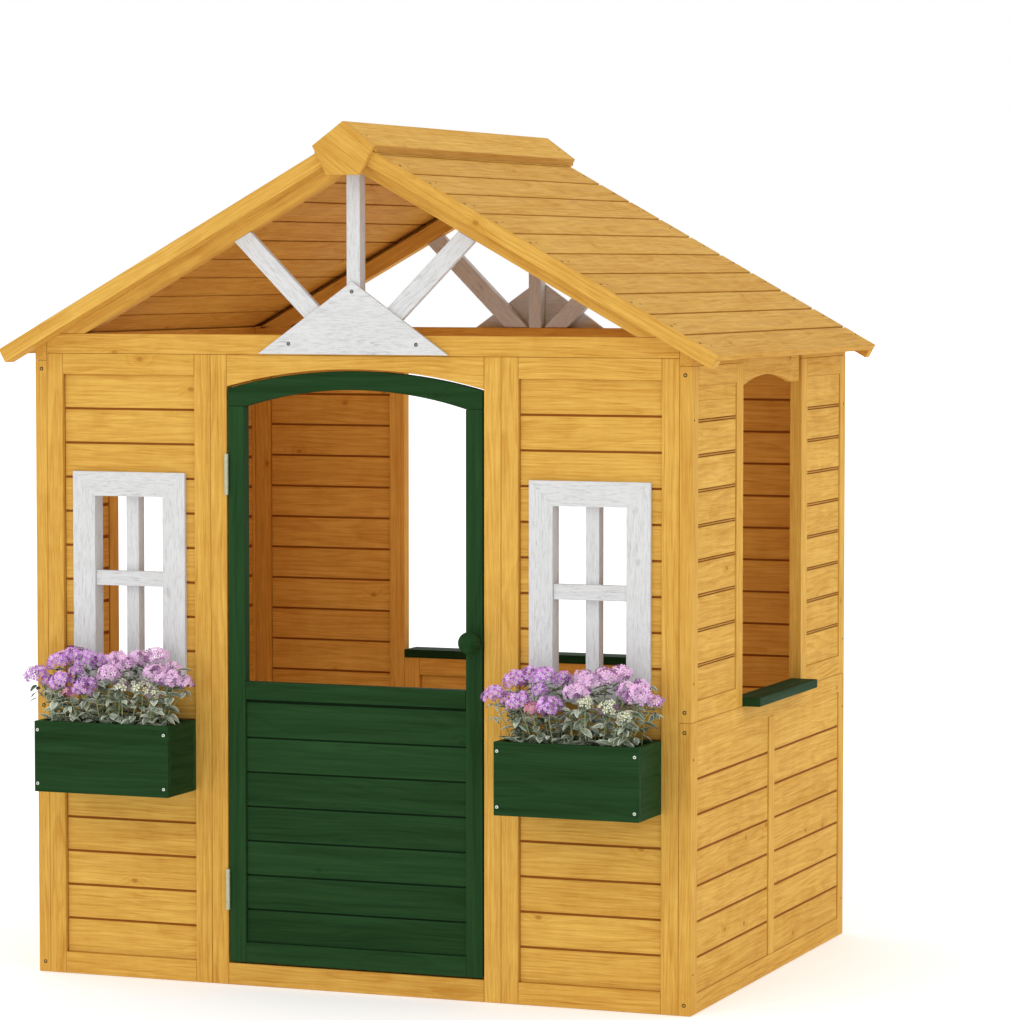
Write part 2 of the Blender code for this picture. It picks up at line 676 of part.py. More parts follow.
def build_roof_panel(side, sign):
    """Boards across the slope, an edge board at the front and one at the back.

    It is modelled flat, x running down the slope from the ridge and z = 0 on the boards' top, and
    then tilted about the ridge line.
    """
    pitch = EAVE_LENGTH / DECK_BOARDS
    start = 0.006
    top = [(start, 0.0)]
    under = [(start, -DECK_THICKNESS)]
    for board in range(1, DECK_BOARDS):
        left, right = board * pitch - GROOVE_WIDTH / 2, board * pitch + GROOVE_WIDTH / 2
        top += [(left, 0.0), (left, -GROOVE_DEPTH), (right, -GROOVE_DEPTH), (right, 0.0)]
        under += [(left, -DECK_THICKNESS), (left, GROOVE_DEPTH - DECK_THICKNESS),
                  (right, GROOVE_DEPTH - DECK_THICKNESS), (right, -DECK_THICKNESS)]
    top.append((EAVE_LENGTH, 0.0))
    under.append((EAVE_LENGTH, -DECK_THICKNESS))
    deck_front = ROOF_FRONT + FASCIA_THICKNESS
    roof = prism(f"roof_panel_{side}", [top + under[::-1]], "XZ", deck_front, ROOF_BACK, HONEY)
    ridge = 0.0136
    tail = (SIDE_X + 0.001 + EDGE_DEPTH * math.sin(SLOPE)) / math.cos(SLOPE)
    bottom = -EDGE_DEPTH
    lap = 0.001
    batten_top = lap - DECK_THICKNESS
    wall_gap = FRONT_Y - GAP
    additions = {
        "fascia": ((ridge, ROOF_FRONT, bottom), (EAVE_LENGTH, deck_front + lap, 0.0)),
        "front_batten": ((ridge, deck_front, bottom), (EAVE_LENGTH, wall_gap, batten_top)),
        "back_batten": ((ridge, BACK_Y + GAP, bottom), (EAVE_LENGTH, ROOF_BACK, batten_top)),
        "tail": ((tail, ROOF_BACK - TAIL_THICKNESS, bottom), (EAVE_LENGTH, ROOF_BACK, batten_top)),
    }
    added = [box(f"roof_{side}_{name}", low, high) for name, (low, high) in additions.items()]
    for addition in added:
        boolean(roof, addition, "UNION")

    # The unions are made while their faces are flush, and the slope is given to the result.
    bpy.context.view_layer.update()
    graph = bpy.context.evaluated_depsgraph_get()
    sloped = bpy.data.meshes.new_from_object(roof.evaluated_get(graph))
    flip = Matrix.Scale(sign, 4, (1, 0, 0))
    tilt = Matrix.Rotation(sign * SLOPE, 4, "Y")
    sloped.transform(Matrix.Translation((0, 0, ROOF_TOP)) @ tilt @ flip)
    if sign < 0:
        sloped.flip_normals()
    roof.modifiers.clear()
    roof.data = sloped
    for addition in added:
        bpy.data.objects.remove(addition)


def build_ridge_cap():
    """Two boards over the top of the roof, and a five-sided plate at each end."""
    plate = [(0.0, CAP_TOP), (-CAP_CORNER_X, CAP_CORNER_Z), (-CAP_BOTTOM_X, CAP_BOTTOM_Z),
             (CAP_BOTTOM_X, CAP_BOTTOM_Z), (CAP_CORNER_X, CAP_CORNER_Z)]
    front = FRONT_Y - RIDGE_OVERHANG
    back = BACK_Y + RIDGE_OVERHANG
    prism("ridge_end_front", [plate], "XZ", front, front + CAP_PLATE, HONEY)
    prism("ridge_end_back", [plate], "XZ", back - CAP_PLATE, back, HONEY)
    fall = (CAP_TOP - CAP_CORNER_Z) / CAP_CORNER_X
    drop = CAP_BOARD * math.sqrt(1 + fall * fall)
    board = [(GAP / 2, CAP_TOP - fall * GAP / 2), (GAP / 2, CAP_TOP - drop),
             (CAP_CORNER_X, CAP_CORNER_Z - drop), (CAP_CORNER_X, CAP_CORNER_Z)]
    reach = (front + CAP_PLATE + GAP, back - CAP_PLATE - GAP)
    prism("ridge_board_right", [board], "XZ", *reach, HONEY)
    prism("ridge_board_left", [mirrored(board)], "XZ", *reach, HONEY)


clear_scene()
PARTS = new_collection("playhouse")
CUTTERS = new_collection("cutters")

door_axis = bpy.data.objects.new("door_hinge_axis", None)
door_axis.location = (HINGE_X, HINGE_Y, 0.0)
PARTS.objects.link(door_axis)

build_front_wall()
build_door(door_axis)
for hinge_level in HINGE_BOTTOMS:
    build_hinge(hinge_level, door_axis)
build_side_wall("right", 1)
build_side_wall("left", -1)
build_back_wall()
build_truss("front", FRONT_Y, 1)
build_truss("back", BACK_Y, -1)
build_roof_panel("right", 1)
build_roof_panel("left", -1)
build_ridge_cap()
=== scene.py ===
"""Looks for the wooden playhouse: every board, screw and flower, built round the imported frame."""

import json
import math
import random
from types import SimpleNamespace

import bmesh
import bpy
import numpy as np
from mathutils import Matrix, Vector

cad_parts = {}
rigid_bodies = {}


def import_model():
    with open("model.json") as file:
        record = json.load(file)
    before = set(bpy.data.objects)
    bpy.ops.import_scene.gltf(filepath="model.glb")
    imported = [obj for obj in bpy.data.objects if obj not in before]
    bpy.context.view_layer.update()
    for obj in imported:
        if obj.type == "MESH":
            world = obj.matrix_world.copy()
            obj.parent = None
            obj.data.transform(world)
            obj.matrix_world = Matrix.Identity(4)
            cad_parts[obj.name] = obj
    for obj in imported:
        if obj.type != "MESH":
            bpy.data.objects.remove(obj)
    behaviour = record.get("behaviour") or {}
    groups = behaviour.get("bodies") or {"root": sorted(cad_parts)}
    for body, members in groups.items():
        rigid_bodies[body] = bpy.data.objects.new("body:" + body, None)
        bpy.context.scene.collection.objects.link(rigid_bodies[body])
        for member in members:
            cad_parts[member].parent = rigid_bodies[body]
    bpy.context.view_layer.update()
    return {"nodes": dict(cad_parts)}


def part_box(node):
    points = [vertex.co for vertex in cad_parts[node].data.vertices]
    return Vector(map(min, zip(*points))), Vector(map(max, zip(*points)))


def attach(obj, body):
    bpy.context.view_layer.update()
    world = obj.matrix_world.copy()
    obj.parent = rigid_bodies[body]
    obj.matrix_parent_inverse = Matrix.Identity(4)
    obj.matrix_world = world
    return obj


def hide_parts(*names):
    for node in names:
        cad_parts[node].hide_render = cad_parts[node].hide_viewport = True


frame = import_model()
RANDOM = random.Random(11)

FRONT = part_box("front_left_panel")[0].y       # outer faces of the walls
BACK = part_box("back_left_panel")[1].y
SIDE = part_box("right_lower_panel")[1].x
MIDDLE = (FRONT + BACK) / 2
GAP = 0.0003                  # left between pieces that touch
BOARD = 0.008                 # thickness of wall boards
LINING = 0.0016               # thickness of the white lining round a window opening
PANEL_STILE = 0.0278
SLOPE = math.radians(29.0)    # of the roof
DROP = math.tan(SLOPE)

# Heights of the boards' edges above the foot of their panel.
FULL_LEVELS = [0.034 + board * 0.05434 for board in range(18)]
LOW_LEVELS = [0.03] + [0.0843 + board * 0.0543 for board in range(6)] + [0.4134]
UPPER_LEVELS = [0.031 + board * 0.0527 for board in range(10)]
DOOR_LEVELS = [0.0682] + [0.1203 + board * 0.0542 for board in range(6)] + [0.4516]


# ---- Materials ----

class Net:
    """Short names for the shader nodes used here. A value is a socket or a constant."""

    def __init__(self, name):
        self.material = bpy.data.materials.new(name)
        self.material.use_nodes = True
        self.tree = self.material.node_tree
        self.shader = self.tree.nodes["Principled BSDF"]

    def feed(self, socket, value):
        if isinstance(value, bpy.types.NodeSocket):
            self.tree.links.new(value, socket)
        else:
            socket.default_value = value

    def node(self, kind, settings, values, out=0):
        node = self.tree.nodes.new(kind)
        for key, value in settings.items():
            setattr(node, key, value)
        for key, value in values.items():
            self.feed(node.inputs[key], value)
        return node.outputs[out]

    def math(self, operation, a, b=0.0, c=0.0):
        return self.node("ShaderNodeMath", {"operation": operation}, {0: a, 1: b, 2: c})

    def times(self, a, b):
        return self.math("MULTIPLY", a, b)

    def total(self, start, *parts):
        """The start plus each part's value times its weight."""
        for value, weight in parts:
            start = self.math("MULTIPLY_ADD", value, weight, start)
        return start

    def vector(self, operation, a, b=(0, 0, 0)):
        out = "Value" if operation == "LENGTH" else "Vector"
        return self.node("ShaderNodeVectorMath", {"operation": operation}, {0: a, 1: b}, out)

    def attribute(self, name, out="Vector"):
        return self.node("ShaderNodeAttribute", {"attribute_name": name}, {}, out)

    def place(self):
        return self.node("ShaderNodeTexCoord", {}, {}, "Object")

    def split(self, vector):
        return self.node("ShaderNodeSeparateXYZ", {}, {0: vector}).node.outputs

    def join(self, x, y, z):
        return self.node("ShaderNodeCombineXYZ", {}, {0: x, 1: y, 2: z})

    def noise(self, vector, scale=1.0, detail=3.0, roughness=0.5, out=0):
        values = {"Vector": vector, "Scale": scale, "Detail": detail, "Roughness": roughness}
        return self.node("ShaderNodeTexNoise", {}, values, out)

    def stretched(self, place, along, across, **how):
        """A noise of one fineness along the grain and another across it."""
        x, y, z = place
        place = self.join(self.times(x, along), self.times(y, across), self.times(z, across))
        return self.noise(place, **how)

    def span(self, value, low, high, out_low=0.0, out_high=1.0):
        """Value from low to high, turned smoothly into out_low to out_high."""
        values = {"Value": value, "From Min": low, "From Max": high,
                  "To Min": out_low, "To Max": out_high}
        return self.node("ShaderNodeMapRange", {"interpolation_type": "SMOOTHSTEP"}, values)

    def mix(self, share, a, b):
        a, b = ((*one, 1.0) if isinstance(one, tuple) else one for one in (a, b))
        return self.node("ShaderNodeMix", {"data_type": "RGBA"}, {0: share, 6: a, 7: b}, 2)

    def cover(self, colour, value, weight, top):
        """The colour with top laid over it by value times weight."""
        return self.mix(self.times(value, weight), colour, top)

    def ramp(self, value, first, last, *between):
        """A colour ramp from its stops, each a position and a colour."""
        factor = self.tree.nodes.new("ShaderNodeValToRGB")
        elements = factor.color_ramp.elements
        for position, _ in between:
            elements.new(position)
        for element, (position, colour) in zip(elements, (first, last, *between)):
            element.position = position
            element.color = (*colour, 1.0)
        self.feed(factor.inputs[0], value)
        return factor.outputs[0]

    def bump(self, height, strength, distance):
        values = {"Height": height, "Strength": strength, "Distance": distance}
        self.feed(self.shader.inputs["Normal"], self.node("ShaderNodeBump", {}, values))

    def finish(self, **values):
        names = {"colour": "Base Color", "roughness": "Roughness", "metallic": "Metallic",
                 "specular": "Specular IOR Level", "glow": "Emission Strength"}
        for key, value in values.items():
            self.feed(self.shader.inputs[names[key]], value)
        return self.material


def grain_of(net, ring_width, wobble):
    """Growth rings, fibres, soft blotches and knots, in each board's own directions.

    The grain attribute is in metres: along the board, across it and into it, measured from the
    heart of the tree that the board was sawn from.
    """
    x, y, z = net.split(net.attribute("grain"))
    sway = net.stretched((x, y, z), 3.2, 13.0, detail=1.5, out="Color")
    sway_y, sway_z, _ = net.split(net.vector("SUBTRACT", sway, (0.5, 0.5, 0.5)))
    wave_y = net.total(y, (sway_y, wobble))
    wave_z = net.total(z, (sway_z, wobble))
    radius = net.vector("LENGTH", net.join(0.0, wave_y, wave_z))

    cells = net.join(net.math("DIVIDE", x, 0.105), net.math("DIVIDE", y, 0.07), 0.0)
    values = {"Vector": cells, "Scale": 1.0, "Randomness": 0.8}
    near = net.node("ShaderNodeTexVoronoi", {"voronoi_dimensions": "2D"}, values, "Distance")
    chance = net.split(near.node.outputs["Color"])[0]
    chosen = net.math("GREATER_THAN", chance, 0.9)
    pull = net.times(net.span(near, 0.27, 0.03), chosen)
    knot = net.times(net.span(near, 0.075, 0.025), chosen)

    ring = net.math("FRACT", net.total(net.math("DIVIDE", radius, ring_width), (pull, 1.4)))
    late = net.times(net.math("POWER", ring, 2.6), net.span(ring, 1.0, 0.9))

    bent = (x, net.total(y, (sway_y, 0.016)), net.total(z, (sway_z, 0.016)))
    return SimpleNamespace(
        waved=(x, wave_y, wave_z), late=late, knot=knot, pull=pull, ring=ring,
        fibre=net.stretched(bent, 12.0, 380.0, detail=4.0, roughness=0.72),
        streak=net.stretched(bent, 3.5, 90.0, detail=3.0, roughness=0.55),
        figure=net.stretched((x, y, z), 34.0, 22.0, detail=2.0),
        blotch=net.stretched((x, y, z), 9.0, 26.0, detail=2.0))


def rim_of(net):
    """1 at a board's long edges and ends, 0 a few millimetres in."""
    local = net.vector("ABSOLUTE", net.attribute("local"))
    along, across, _ = net.split(net.vector("SUBTRACT", net.attribute("half"), local))
    return net.span(net.math("MINIMUM", along, across), 0.0024, 0.0002)


def shaded(net, dark, colour):
    """The colour darkened by the shade attribute, which holds painted shade: 1 leaves it as it is
    and 0 makes it dark.
    """
    return net.mix(net.attribute("shade", "Fac"), dark, colour)


def honey_wood():
    net = Net("honey_stained_softwood")
    grain = grain_of(net, 0.0046, 0.026)
    depth = net.total(-0.6, (grain.streak, 0.34), (grain.fibre, 1.2), (grain.late, 0.18),
                      (grain.blotch, 0.32), (grain.figure, 0.22),
                      (net.attribute("tone", "Fac"), 0.05))
    colour = net.ramp(depth, (0.0, (0.85, 0.535, 0.118)), (1.0, (0.44, 0.172, 0.015)),
                      (0.3, (0.8, 0.462, 0.08)), (0.62, (0.672, 0.347, 0.046)))
    colour = net.cover(colour, grain.pull, 0.26, (0.56, 0.255, 0.026))
    colour = net.cover(colour, grain.knot, 0.55, (0.29, 0.105, 0.014))
    colour = net.cover(colour, rim_of(net), 0.15, (0.5, 0.215, 0.024))
    colour = shaded(net, (0.22, 0.048, 0.004), colour)
    net.bump(net.total(grain.fibre, (grain.late, 0.4)), 0.22, 0.0004)
    roughness = net.span(grain.streak, 0.3, 0.7, 0.54, 0.68)
    return net.finish(colour=colour, roughness=roughness, specular=0.04)


def white_wood():
    net = Net("whitewashed_softwood")
    grain = grain_of(net, 0.005, 0.03)
    hairs = net.stretched(grain.waved, 46.0, 430.0, detail=5.0, roughness=0.75)
    fine = net.times(net.span(hairs, 0.44, 0.7), 0.5)
    crack = net.math("ABSOLUTE", net.math("SUBTRACT", grain.streak, 0.5))
    crack = net.times(net.span(crack, 0.008, 0.001), net.span(grain.figure, 0.46, 0.62, 0.08, 0.85))
    lines = net.times(net.span(grain.ring, 0.9, 0.98), 0.15)
    worn = net.math("MAXIMUM", net.math("MAXIMUM", fine, crack), lines)
    paint = net.mix(grain.blotch, (0.728, 0.73, 0.73), (0.648, 0.65, 0.648))
    colour = net.mix(worn, paint, (0.37, 0.365, 0.355))
    colour = net.cover(colour, grain.knot, 0.4, (0.34, 0.33, 0.31))
    colour = net.cover(colour, rim_of(net), 0.1, (0.5, 0.49, 0.47))
    colour = shaded(net, (0.1, 0.09, 0.08), colour)
    net.bump(net.total(grain.fibre, (worn, -0.9)), 0.45, 0.0006)
    roughness = net.span(grain.fibre, 0.3, 0.7, 0.52, 0.68)
    return net.finish(colour=colour, roughness=roughness, specular=0.12)


def green_wood():
    net = Net("green_painted_softwood")
    grain = grain_of(net, 0.0046, 0.03)
    depth = net.total(-0.3, (grain.streak, 0.9), (grain.fibre, 0.55), (grain.late, 0.15),
                      (net.attribute("tone", "Fac"), 0.12))
    colour = net.ramp(depth, (0.1, (0.0215, 0.069, 0.02)), (0.95, (0.0065, 0.0235, 0.006)),
                      (0.5, (0.014, 0.043, 0.0125)))
    colour = net.cover(colour, grain.knot, 0.4, (0.006, 0.022, 0.007))
    worn = net.times(rim_of(net), net.span(grain.fibre, 0.35, 0.75, 0.03, 0.28))
    colour = net.mix(worn, colour, (0.036, 0.1, 0.04))
    colour = shaded(net, (0.002, 0.008, 0.002), colour)
    net.bump(net.total(grain.fibre, (grain.late, 0.5)), 0.28, 0.0005)
    roughness = net.span(grain.streak, 0.3, 0.7, 0.5, 0.64)
    return net.finish(colour=colour, roughness=roughness, specular=0.045)


def steel(name, light, dark, metallic):
    net = Net(name)
    place = net.place()
    brushed = net.noise(net.vector("MULTIPLY", place, (900.0, 900.0, 60.0)), detail=3.0)
    colour = net.mix(net.noise(place, scale=160.0, detail=2.0), light, dark)
    net.bump(brushed, 0.12, 0.0002)
    roughness = net.span(brushed, 0.3, 0.7, 0.3, 0.48)
    return net.finish(colour=colour, roughness=roughness, metallic=metallic)


def speckled(name, scale, detail, grit, dark, light, roughness, specular, bump=None):
    """A rough stuff of two colours. bump is the strength and the height of its grains."""
    net = Net(name)
    spots = net.noise(net.place(), scale, detail, grit)
    if bump:
        net.bump(spots, *bump)
    colour = net.mix(spots, dark, light)
    return net.finish(colour=colour, roughness=roughness, specular=specular)


def petals():
    """The bloom attribute holds how far out in its floret a point lies, its tint and a shade:
    random, plus painted shade towards a head's lower rim.
    """
    net = Net("petals")
    out, tint, shade = net.split(net.attribute("bloom"))
    # The dark stop near each floret's tube is partly the flowers' own colour and partly painted
    # shade in the gaps between florets.
    violet = net.ramp(out, (0.05, (0.94, 0.9, 0.88)), (1.0, (0.63, 0.125, 0.8)),
                      (0.11, (0.16, 0.01, 0.2)), (0.45, (0.46, 0.042, 0.63)))
    pink = net.ramp(out, (0.05, (0.95, 0.8, 0.84)), (1.0, (0.98, 0.49, 0.98)),
                    (0.11, (0.34, 0.035, 0.3)), (0.45, (0.94, 0.265, 0.93)))
    cream = net.ramp(out, (0.1, (0.5, 0.56, 0.2)), (1.0, (0.92, 0.93, 0.8)),
                     (0.5, (0.86, 0.88, 0.66)))
    rose = net.ramp(out, (0.1, (0.85, 0.6, 0.6)), (1.0, (0.8, 0.22, 0.36)))
    colour = net.mix(net.span(tint, 0.2, 0.8), violet, pink)
    colour = net.mix(net.span(tint, 1.2, 1.8), colour, cream)
    colour = net.mix(net.span(tint, 2.2, 2.8), colour, rose)
    colour = net.cover(colour, shade, 0.9, (0.1, 0.006, 0.12))
    veins = net.noise(net.place(), scale=1400.0, detail=2.0)
    colour = net.mix(net.span(veins, 0.45, 0.75, 0.0, 0.08), colour, (0.9, 0.66, 0.92))
    net.bump(veins, 0.15, 0.0003)
    return net.finish(colour=colour, roughness=0.66, specular=0.04)


def leaves():
    """The blade attribute holds the place along a leaf, across it, and a shade: random, and darker
    for leaves further back as painted shade.
    """
    net = Net("variegated_leaves")
    along, across, shade = net.split(net.attribute("blade"))
    across = net.math("ABSOLUTE", across)
    uneven = net.noise(net.place(), scale=420.0, detail=2.0)
    pale = net.span(net.math("ADD", across, net.times(uneven, 0.5)), 0.78, 1.1)
    pale = net.times(pale, net.span(shade, 0.0, 0.6, 0.35, 1.0))
    green = net.mix(shade, (0.066, 0.094, 0.05), (0.58, 0.65, 0.515))
    colour = net.mix(pale, green, (0.83, 0.86, 0.74))
    colour = net.cover(colour, net.span(across, 0.16, 0.03), 0.4, (0.42, 0.49, 0.33))
    veins = net.math("SINE", net.total(net.times(along, 26.0), (across, -4.0)))
    colour = net.mix(net.span(veins, 0.5, 1.0, 0.0, 0.2), colour, (0.12, 0.17, 0.1))
    net.bump(net.math("ADD", veins, uneven), 0.35, 0.0004)
    return net.finish(colour=colour, roughness=0.62, specular=0.08)


def floor_paint():
    net = Net("pale_floor")
    cloud = net.noise(net.place(), scale=1.4, detail=3.0)
    colour = net.mix(cloud, (0.985, 0.985, 0.985), (0.975, 0.975, 0.975))
    net.shader.inputs["Emission Color"].default_value = (1.0, 1.0, 1.0, 1.0)
    return net.finish(colour=colour, roughness=0.95, specular=0.0, glow=0.24)


HONEY = honey_wood()
WHITE = white_wood()
GREEN = green_wood()
STEEL = steel("plated_steel", (0.86, 0.9, 0.82), (0.72, 0.77, 0.68), 0.85)
HINGE = steel("hinge_plate", (0.56, 0.56, 0.39), (0.42, 0.43, 0.29), 0.55)
SUNK_HEAD = steel("sunk_screw_head", (0.5, 0.47, 0.4), (0.36, 0.33, 0.27), 0.4)
STAINED_HEAD = steel("stained_screw_head", (0.72, 0.42, 0.09), (0.56, 0.3, 0.06), 0.0)
# Near-black painted shade for screw holes, screw slots and nail holes.
RECESS_SHADE = speckled("painted_shade_recess", 900.0, 2.0, 0.5, (0.012, 0.008, 0.005),
                       (0.034, 0.022, 0.012), 0.8, 0.02)
PETALS = petals()
LEAVES = leaves()
STALKS = speckled("stalks", 150.0, 2.0, 0.5, (0.2, 0.27, 0.1), (0.42, 0.44, 0.22), 0.6, 0.3,
                  (0.2, 0.0003))
SOIL = speckled("soil", 260.0, 4.0, 0.7, (0.012, 0.008, 0.005), (0.085, 0.055, 0.035), 0.95, 0.15,
                (0.8, 0.003))


# ---- Shapes ----

XZ = Matrix(((1, 0, 0, 0), (0, 0, 1, 0), (0, 1, 0, 0), (0, 0, 0, 1)))   # outline in x, z
YZ = Matrix(((0, 0, 1, 0), (1, 0, 0, 0), (0, 1, 0, 0), (0, 0, 0, 1)))   # outline in y, z


def rectangle(low, high):
    return [low, (high[0], low[1]), high, (low[0], high[1])]


def arc(x_from, x_to, spring, peak, steps=28):
    """Points of a circular arch from one spring point to the other, ends included."""
    half = abs(x_to - x_from) / 2
    rise = peak - spring
    radius = (half * half + rise * rise) / (2 * rise)
    middle = (x_from + x_to) / 2
    sweep = math.asin(half / radius)
    side = 1 if x_to > x_from else -1
    angles = [sweep * (2 * step / steps - 1) for step in range(steps + 1)]
    return [(middle + side * radius * math.sin(angle), peak - radius + radius * math.cos(angle))
            for angle in angles]


def outline_of(node):
    """A convex CAD node seen from the front, as points (x, z) in order round it."""
    mesh = frame["nodes"][node].data
    points = {(round(v.co[0], 5), round(v.co[2], 5)) for v in mesh.vertices}
    middle = (sum(p[0] for p in points) / len(points), sum(p[1] for p in points) / len(points))
    return sorted(points, key=lambda p: math.atan2(p[1] - middle[1], p[0] - middle[0]))


def grid_faces(rows, width, closed=False):
    """Faces of rows of width points each, one row longer than rows. closed joins a row's ends."""
    faces = []
    for row in range(rows):
        for one in range(width if closed else width - 1):
            two = (one + 1) % width
            start = row * width
            faces.append([start + one, start + two, start + width + two, start + width + one])
    return faces


def gather(shapes):
    """One list of points and one of faces, out of many shapes' own."""
    points = []
    faces = []
    for some_points, some_faces in shapes:
        first = len(points)
        points += some_points
        faces += [[index + first for index in face] for face in some_faces]
    return points, faces


def add_object(name, data):
    thing = bpy.data.objects.new(name, data)
    bpy.context.scene.collection.objects.link(thing)
    return thing


def new_mesh(name, points, faces, material, vectors=None, numbers=None):
    """A mesh with the vectors and numbers of each point that its material reads."""
    mesh = bpy.data.meshes.new(name)
    mesh.from_pydata(points, [], faces)
    for kind, field, table in (("FLOAT_VECTOR", "vector", vectors), ("FLOAT", "value", numbers)):
        for key, values in (table or {}).items():
            attribute = mesh.attributes.new(key, kind, "POINT")
            attribute.data.foreach_set(field, np.array(values, np.float32).ravel())
    mesh.materials.append(material)
    return mesh


def settle(piece, body, nodes=()):
    """Rides the piece on its body and hides the CAD nodes that it stands for."""
    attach(piece, body)
    if nodes:
        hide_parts(*nodes)


def mesh_piece(name, shape, material, body="house", nodes=(), smooth=True,
               vectors=None, numbers=None):
    mesh = new_mesh(name, *shape, material, vectors, numbers)
    if smooth:
        mesh.shade_smooth()
    settle(add_object(name, mesh), body, nodes)


class Boards:
    """Boards gathered into one mesh. Each keeps the directions and the place of its own grain."""

    def __init__(self, name, material=HONEY, bevel=0.0009):
        self.name = name
        self.material = material
        self.bevel = bevel
        self.points = []
        self.faces = []
        self.vectors = {"grain": [], "local": [], "half": []}
        self.numbers = {"tone": [], "shade": []}

    def prism(self, outline, start, end, turn=XZ, along=(1.0, 0.0), shade=1.0):
        """A flat outline pushed through its plane. along is the grain's direction in that plane."""
        grain = Vector(along).normalized()
        cross = Vector((-grain.y, grain.x))
        flat = [Vector(point) for point in outline]
        lengths = [point.dot(grain) for point in flat]
        widths = [point.dot(cross) for point in flat]
        reaches = [(min(lengths), max(lengths)), (min(widths), max(widths)), (start, end)]
        middle = [(low + high) / 2 for low, high in reaches]
        half = [abs(high - low) / 2 for low, high in reaches]
        heart = (RANDOM.uniform(0, 60), RANDOM.uniform(-0.035, 0.035),
                 RANDOM.choice((-1, 1)) * RANDOM.uniform(0.02, 0.085))
        tone = RANDOM.uniform(-1, 1)
        first = len(self.points)
        count = len(flat)
        for level in (start, end):
            for place in zip(lengths, widths, [level] * count):
                local = [a - b for a, b in zip(place, middle)]
                self.vectors["local"].append(local)
                self.vectors["grain"].append([a + b for a, b in zip(local, heart)])
            self.points += [turn @ Vector((point.x, point.y, level)) for point in flat]
            self.vectors["half"] += [half] * count
            self.numbers["tone"] += [tone] * count
            self.numbers["shade"] += [shade] * count
        self.faces.append([first + i for i in range(count)])
        self.faces.append([first + count + i for i in reversed(range(count))])
        for i in range(count):
            j = (i + 1) % count
            self.faces.append([first + i, first + count + i, first + count + j, first + j])

    def moulding(self, outline, start, end, shade=1.0):
        """A board whose grain runs along the line that its outline is pushed through."""
        first = len(self.points)
        self.prism(outline, start, end, shade=shade)
        heart = (RANDOM.uniform(60, 120), RANDOM.uniform(-0.03, 0.03), RANDOM.uniform(0.03, 0.08))
        length, width, thick = self.vectors["half"][first]
        for i in range(first, len(self.points)):
            x, y, z = Vector(self.vectors["local"][i])
            self.vectors["local"][i] = (z, x, y)
            self.vectors["half"][i] = (thick, length, width)
            self.vectors["grain"][i] = tuple(a + b for a, b in zip((z, x, y), heart))

    def box(self, low, high, turn=Matrix.Identity(4), along=0, shade=1.0):
        """A box in the frame of turn. Its thinnest way is its thickness; along is an axis."""
        sizes = [high[axis] - low[axis] for axis in range(3)]
        thin = min((axis for axis in range(3) if axis != along), key=lambda axis: sizes[axis])
        across = 3 - along - thin
        order = Matrix.Identity(4)
        for column_at, axis in enumerate((along, across, thin)):
            for row in range(3):
                order[row][column_at] = 1.0 if row == axis else 0.0
        outline = rectangle((low[along], low[across]), (high[along], high[across]))
        self.prism(outline, low[thin], high[thin], turn @ order, shade=shade)

    def make(self, node, body="house"):
        mesh = new_mesh(self.name, self.points, self.faces, self.material, self.vectors,
                        self.numbers)
        shape = bmesh.new()
        shape.from_mesh(mesh)
        bmesh.ops.recalc_face_normals(shape, faces=shape.faces)
        shape.to_mesh(mesh)
        shape.free()
        mesh.shade_smooth()
        piece = add_object(self.name, mesh)
        edges = piece.modifiers.new("edges", "BEVEL")
        edges.width = self.bevel
        edges.segments = 2
        edges.limit_method = "ANGLE"
        edges.angle_limit = math.radians(35)
        edges.harden_normals = True
        settle(piece, body, (node,))


def one_box(node, suffix="_board", material=HONEY, bevel=0.0009, **how):
    """A node that is one plain board over its CAD box. how goes to Boards.box."""
    made = Boards(node + suffix, material, bevel)
    made.box(*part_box(node), **how)
    made.make(node)


def one_prism(node, outline, start, end, suffix="_board", material=HONEY, bevel=0.0009, **how):
    """A node that is one board of another outline. how goes to Boards.prism."""
    made = Boards(node + suffix, material, bevel)
    made.prism(outline, start, end, **how)
    made.make(node)


# ---- Screws and nails ----

SCREWS = []
NAILS = []


def screw(place, facing, radius, kind="proud"):
    """kind is proud, sunk (in a hole drawn dark as painted shade) or stained (sunk, with wood stain
    over its head).
    """
    SCREWS.append((Vector(place), Vector(facing).normalized(), radius, kind))


def turned(place, facing):
    """A frame at place whose z axis points along facing."""
    return Matrix.Translation(place) @ facing.to_track_quat("Z", "Y").to_matrix().to_4x4()


def lathe(profile, place, facing, sides=20):
    """Points and faces of an outline of (radius, height) turned about a line out of place."""
    turn = turned(place, facing)
    angles = [2 * math.pi * side / sides for side in range(sides)]
    points = [turn @ Vector((radius * math.cos(angle), radius * math.sin(angle), height))
              for radius, height in profile for angle in angles]
    last = (len(profile) - 1) * sides
    ends = [list(reversed(range(sides))), list(range(last, last + sides))]
    return points, grid_faces(len(profile) - 1, sides, closed=True) + ends


def cross_recess(turn, radius, kind):
    """The cross-shaped slot of a screw's head, a little above it, drawn dark as painted shade."""
    long = radius * 0.62
    thin = radius * (0.08 if kind == "stained" else 0.14)
    plus = [(-long, -thin), (-thin, -thin), (-thin, -long), (thin, -long), (thin, -thin),
            (long, -thin), (long, thin), (thin, thin), (thin, long), (-thin, long),
            (-thin, thin), (-long, thin)]
    points = [turn @ Vector((x, y, height)) for height in (0.0005, 0.00092) for x, y in plus]
    ends = [list(range(12, 24)), list(reversed(range(12)))]
    return points, grid_faces(1, 12, closed=True) + ends


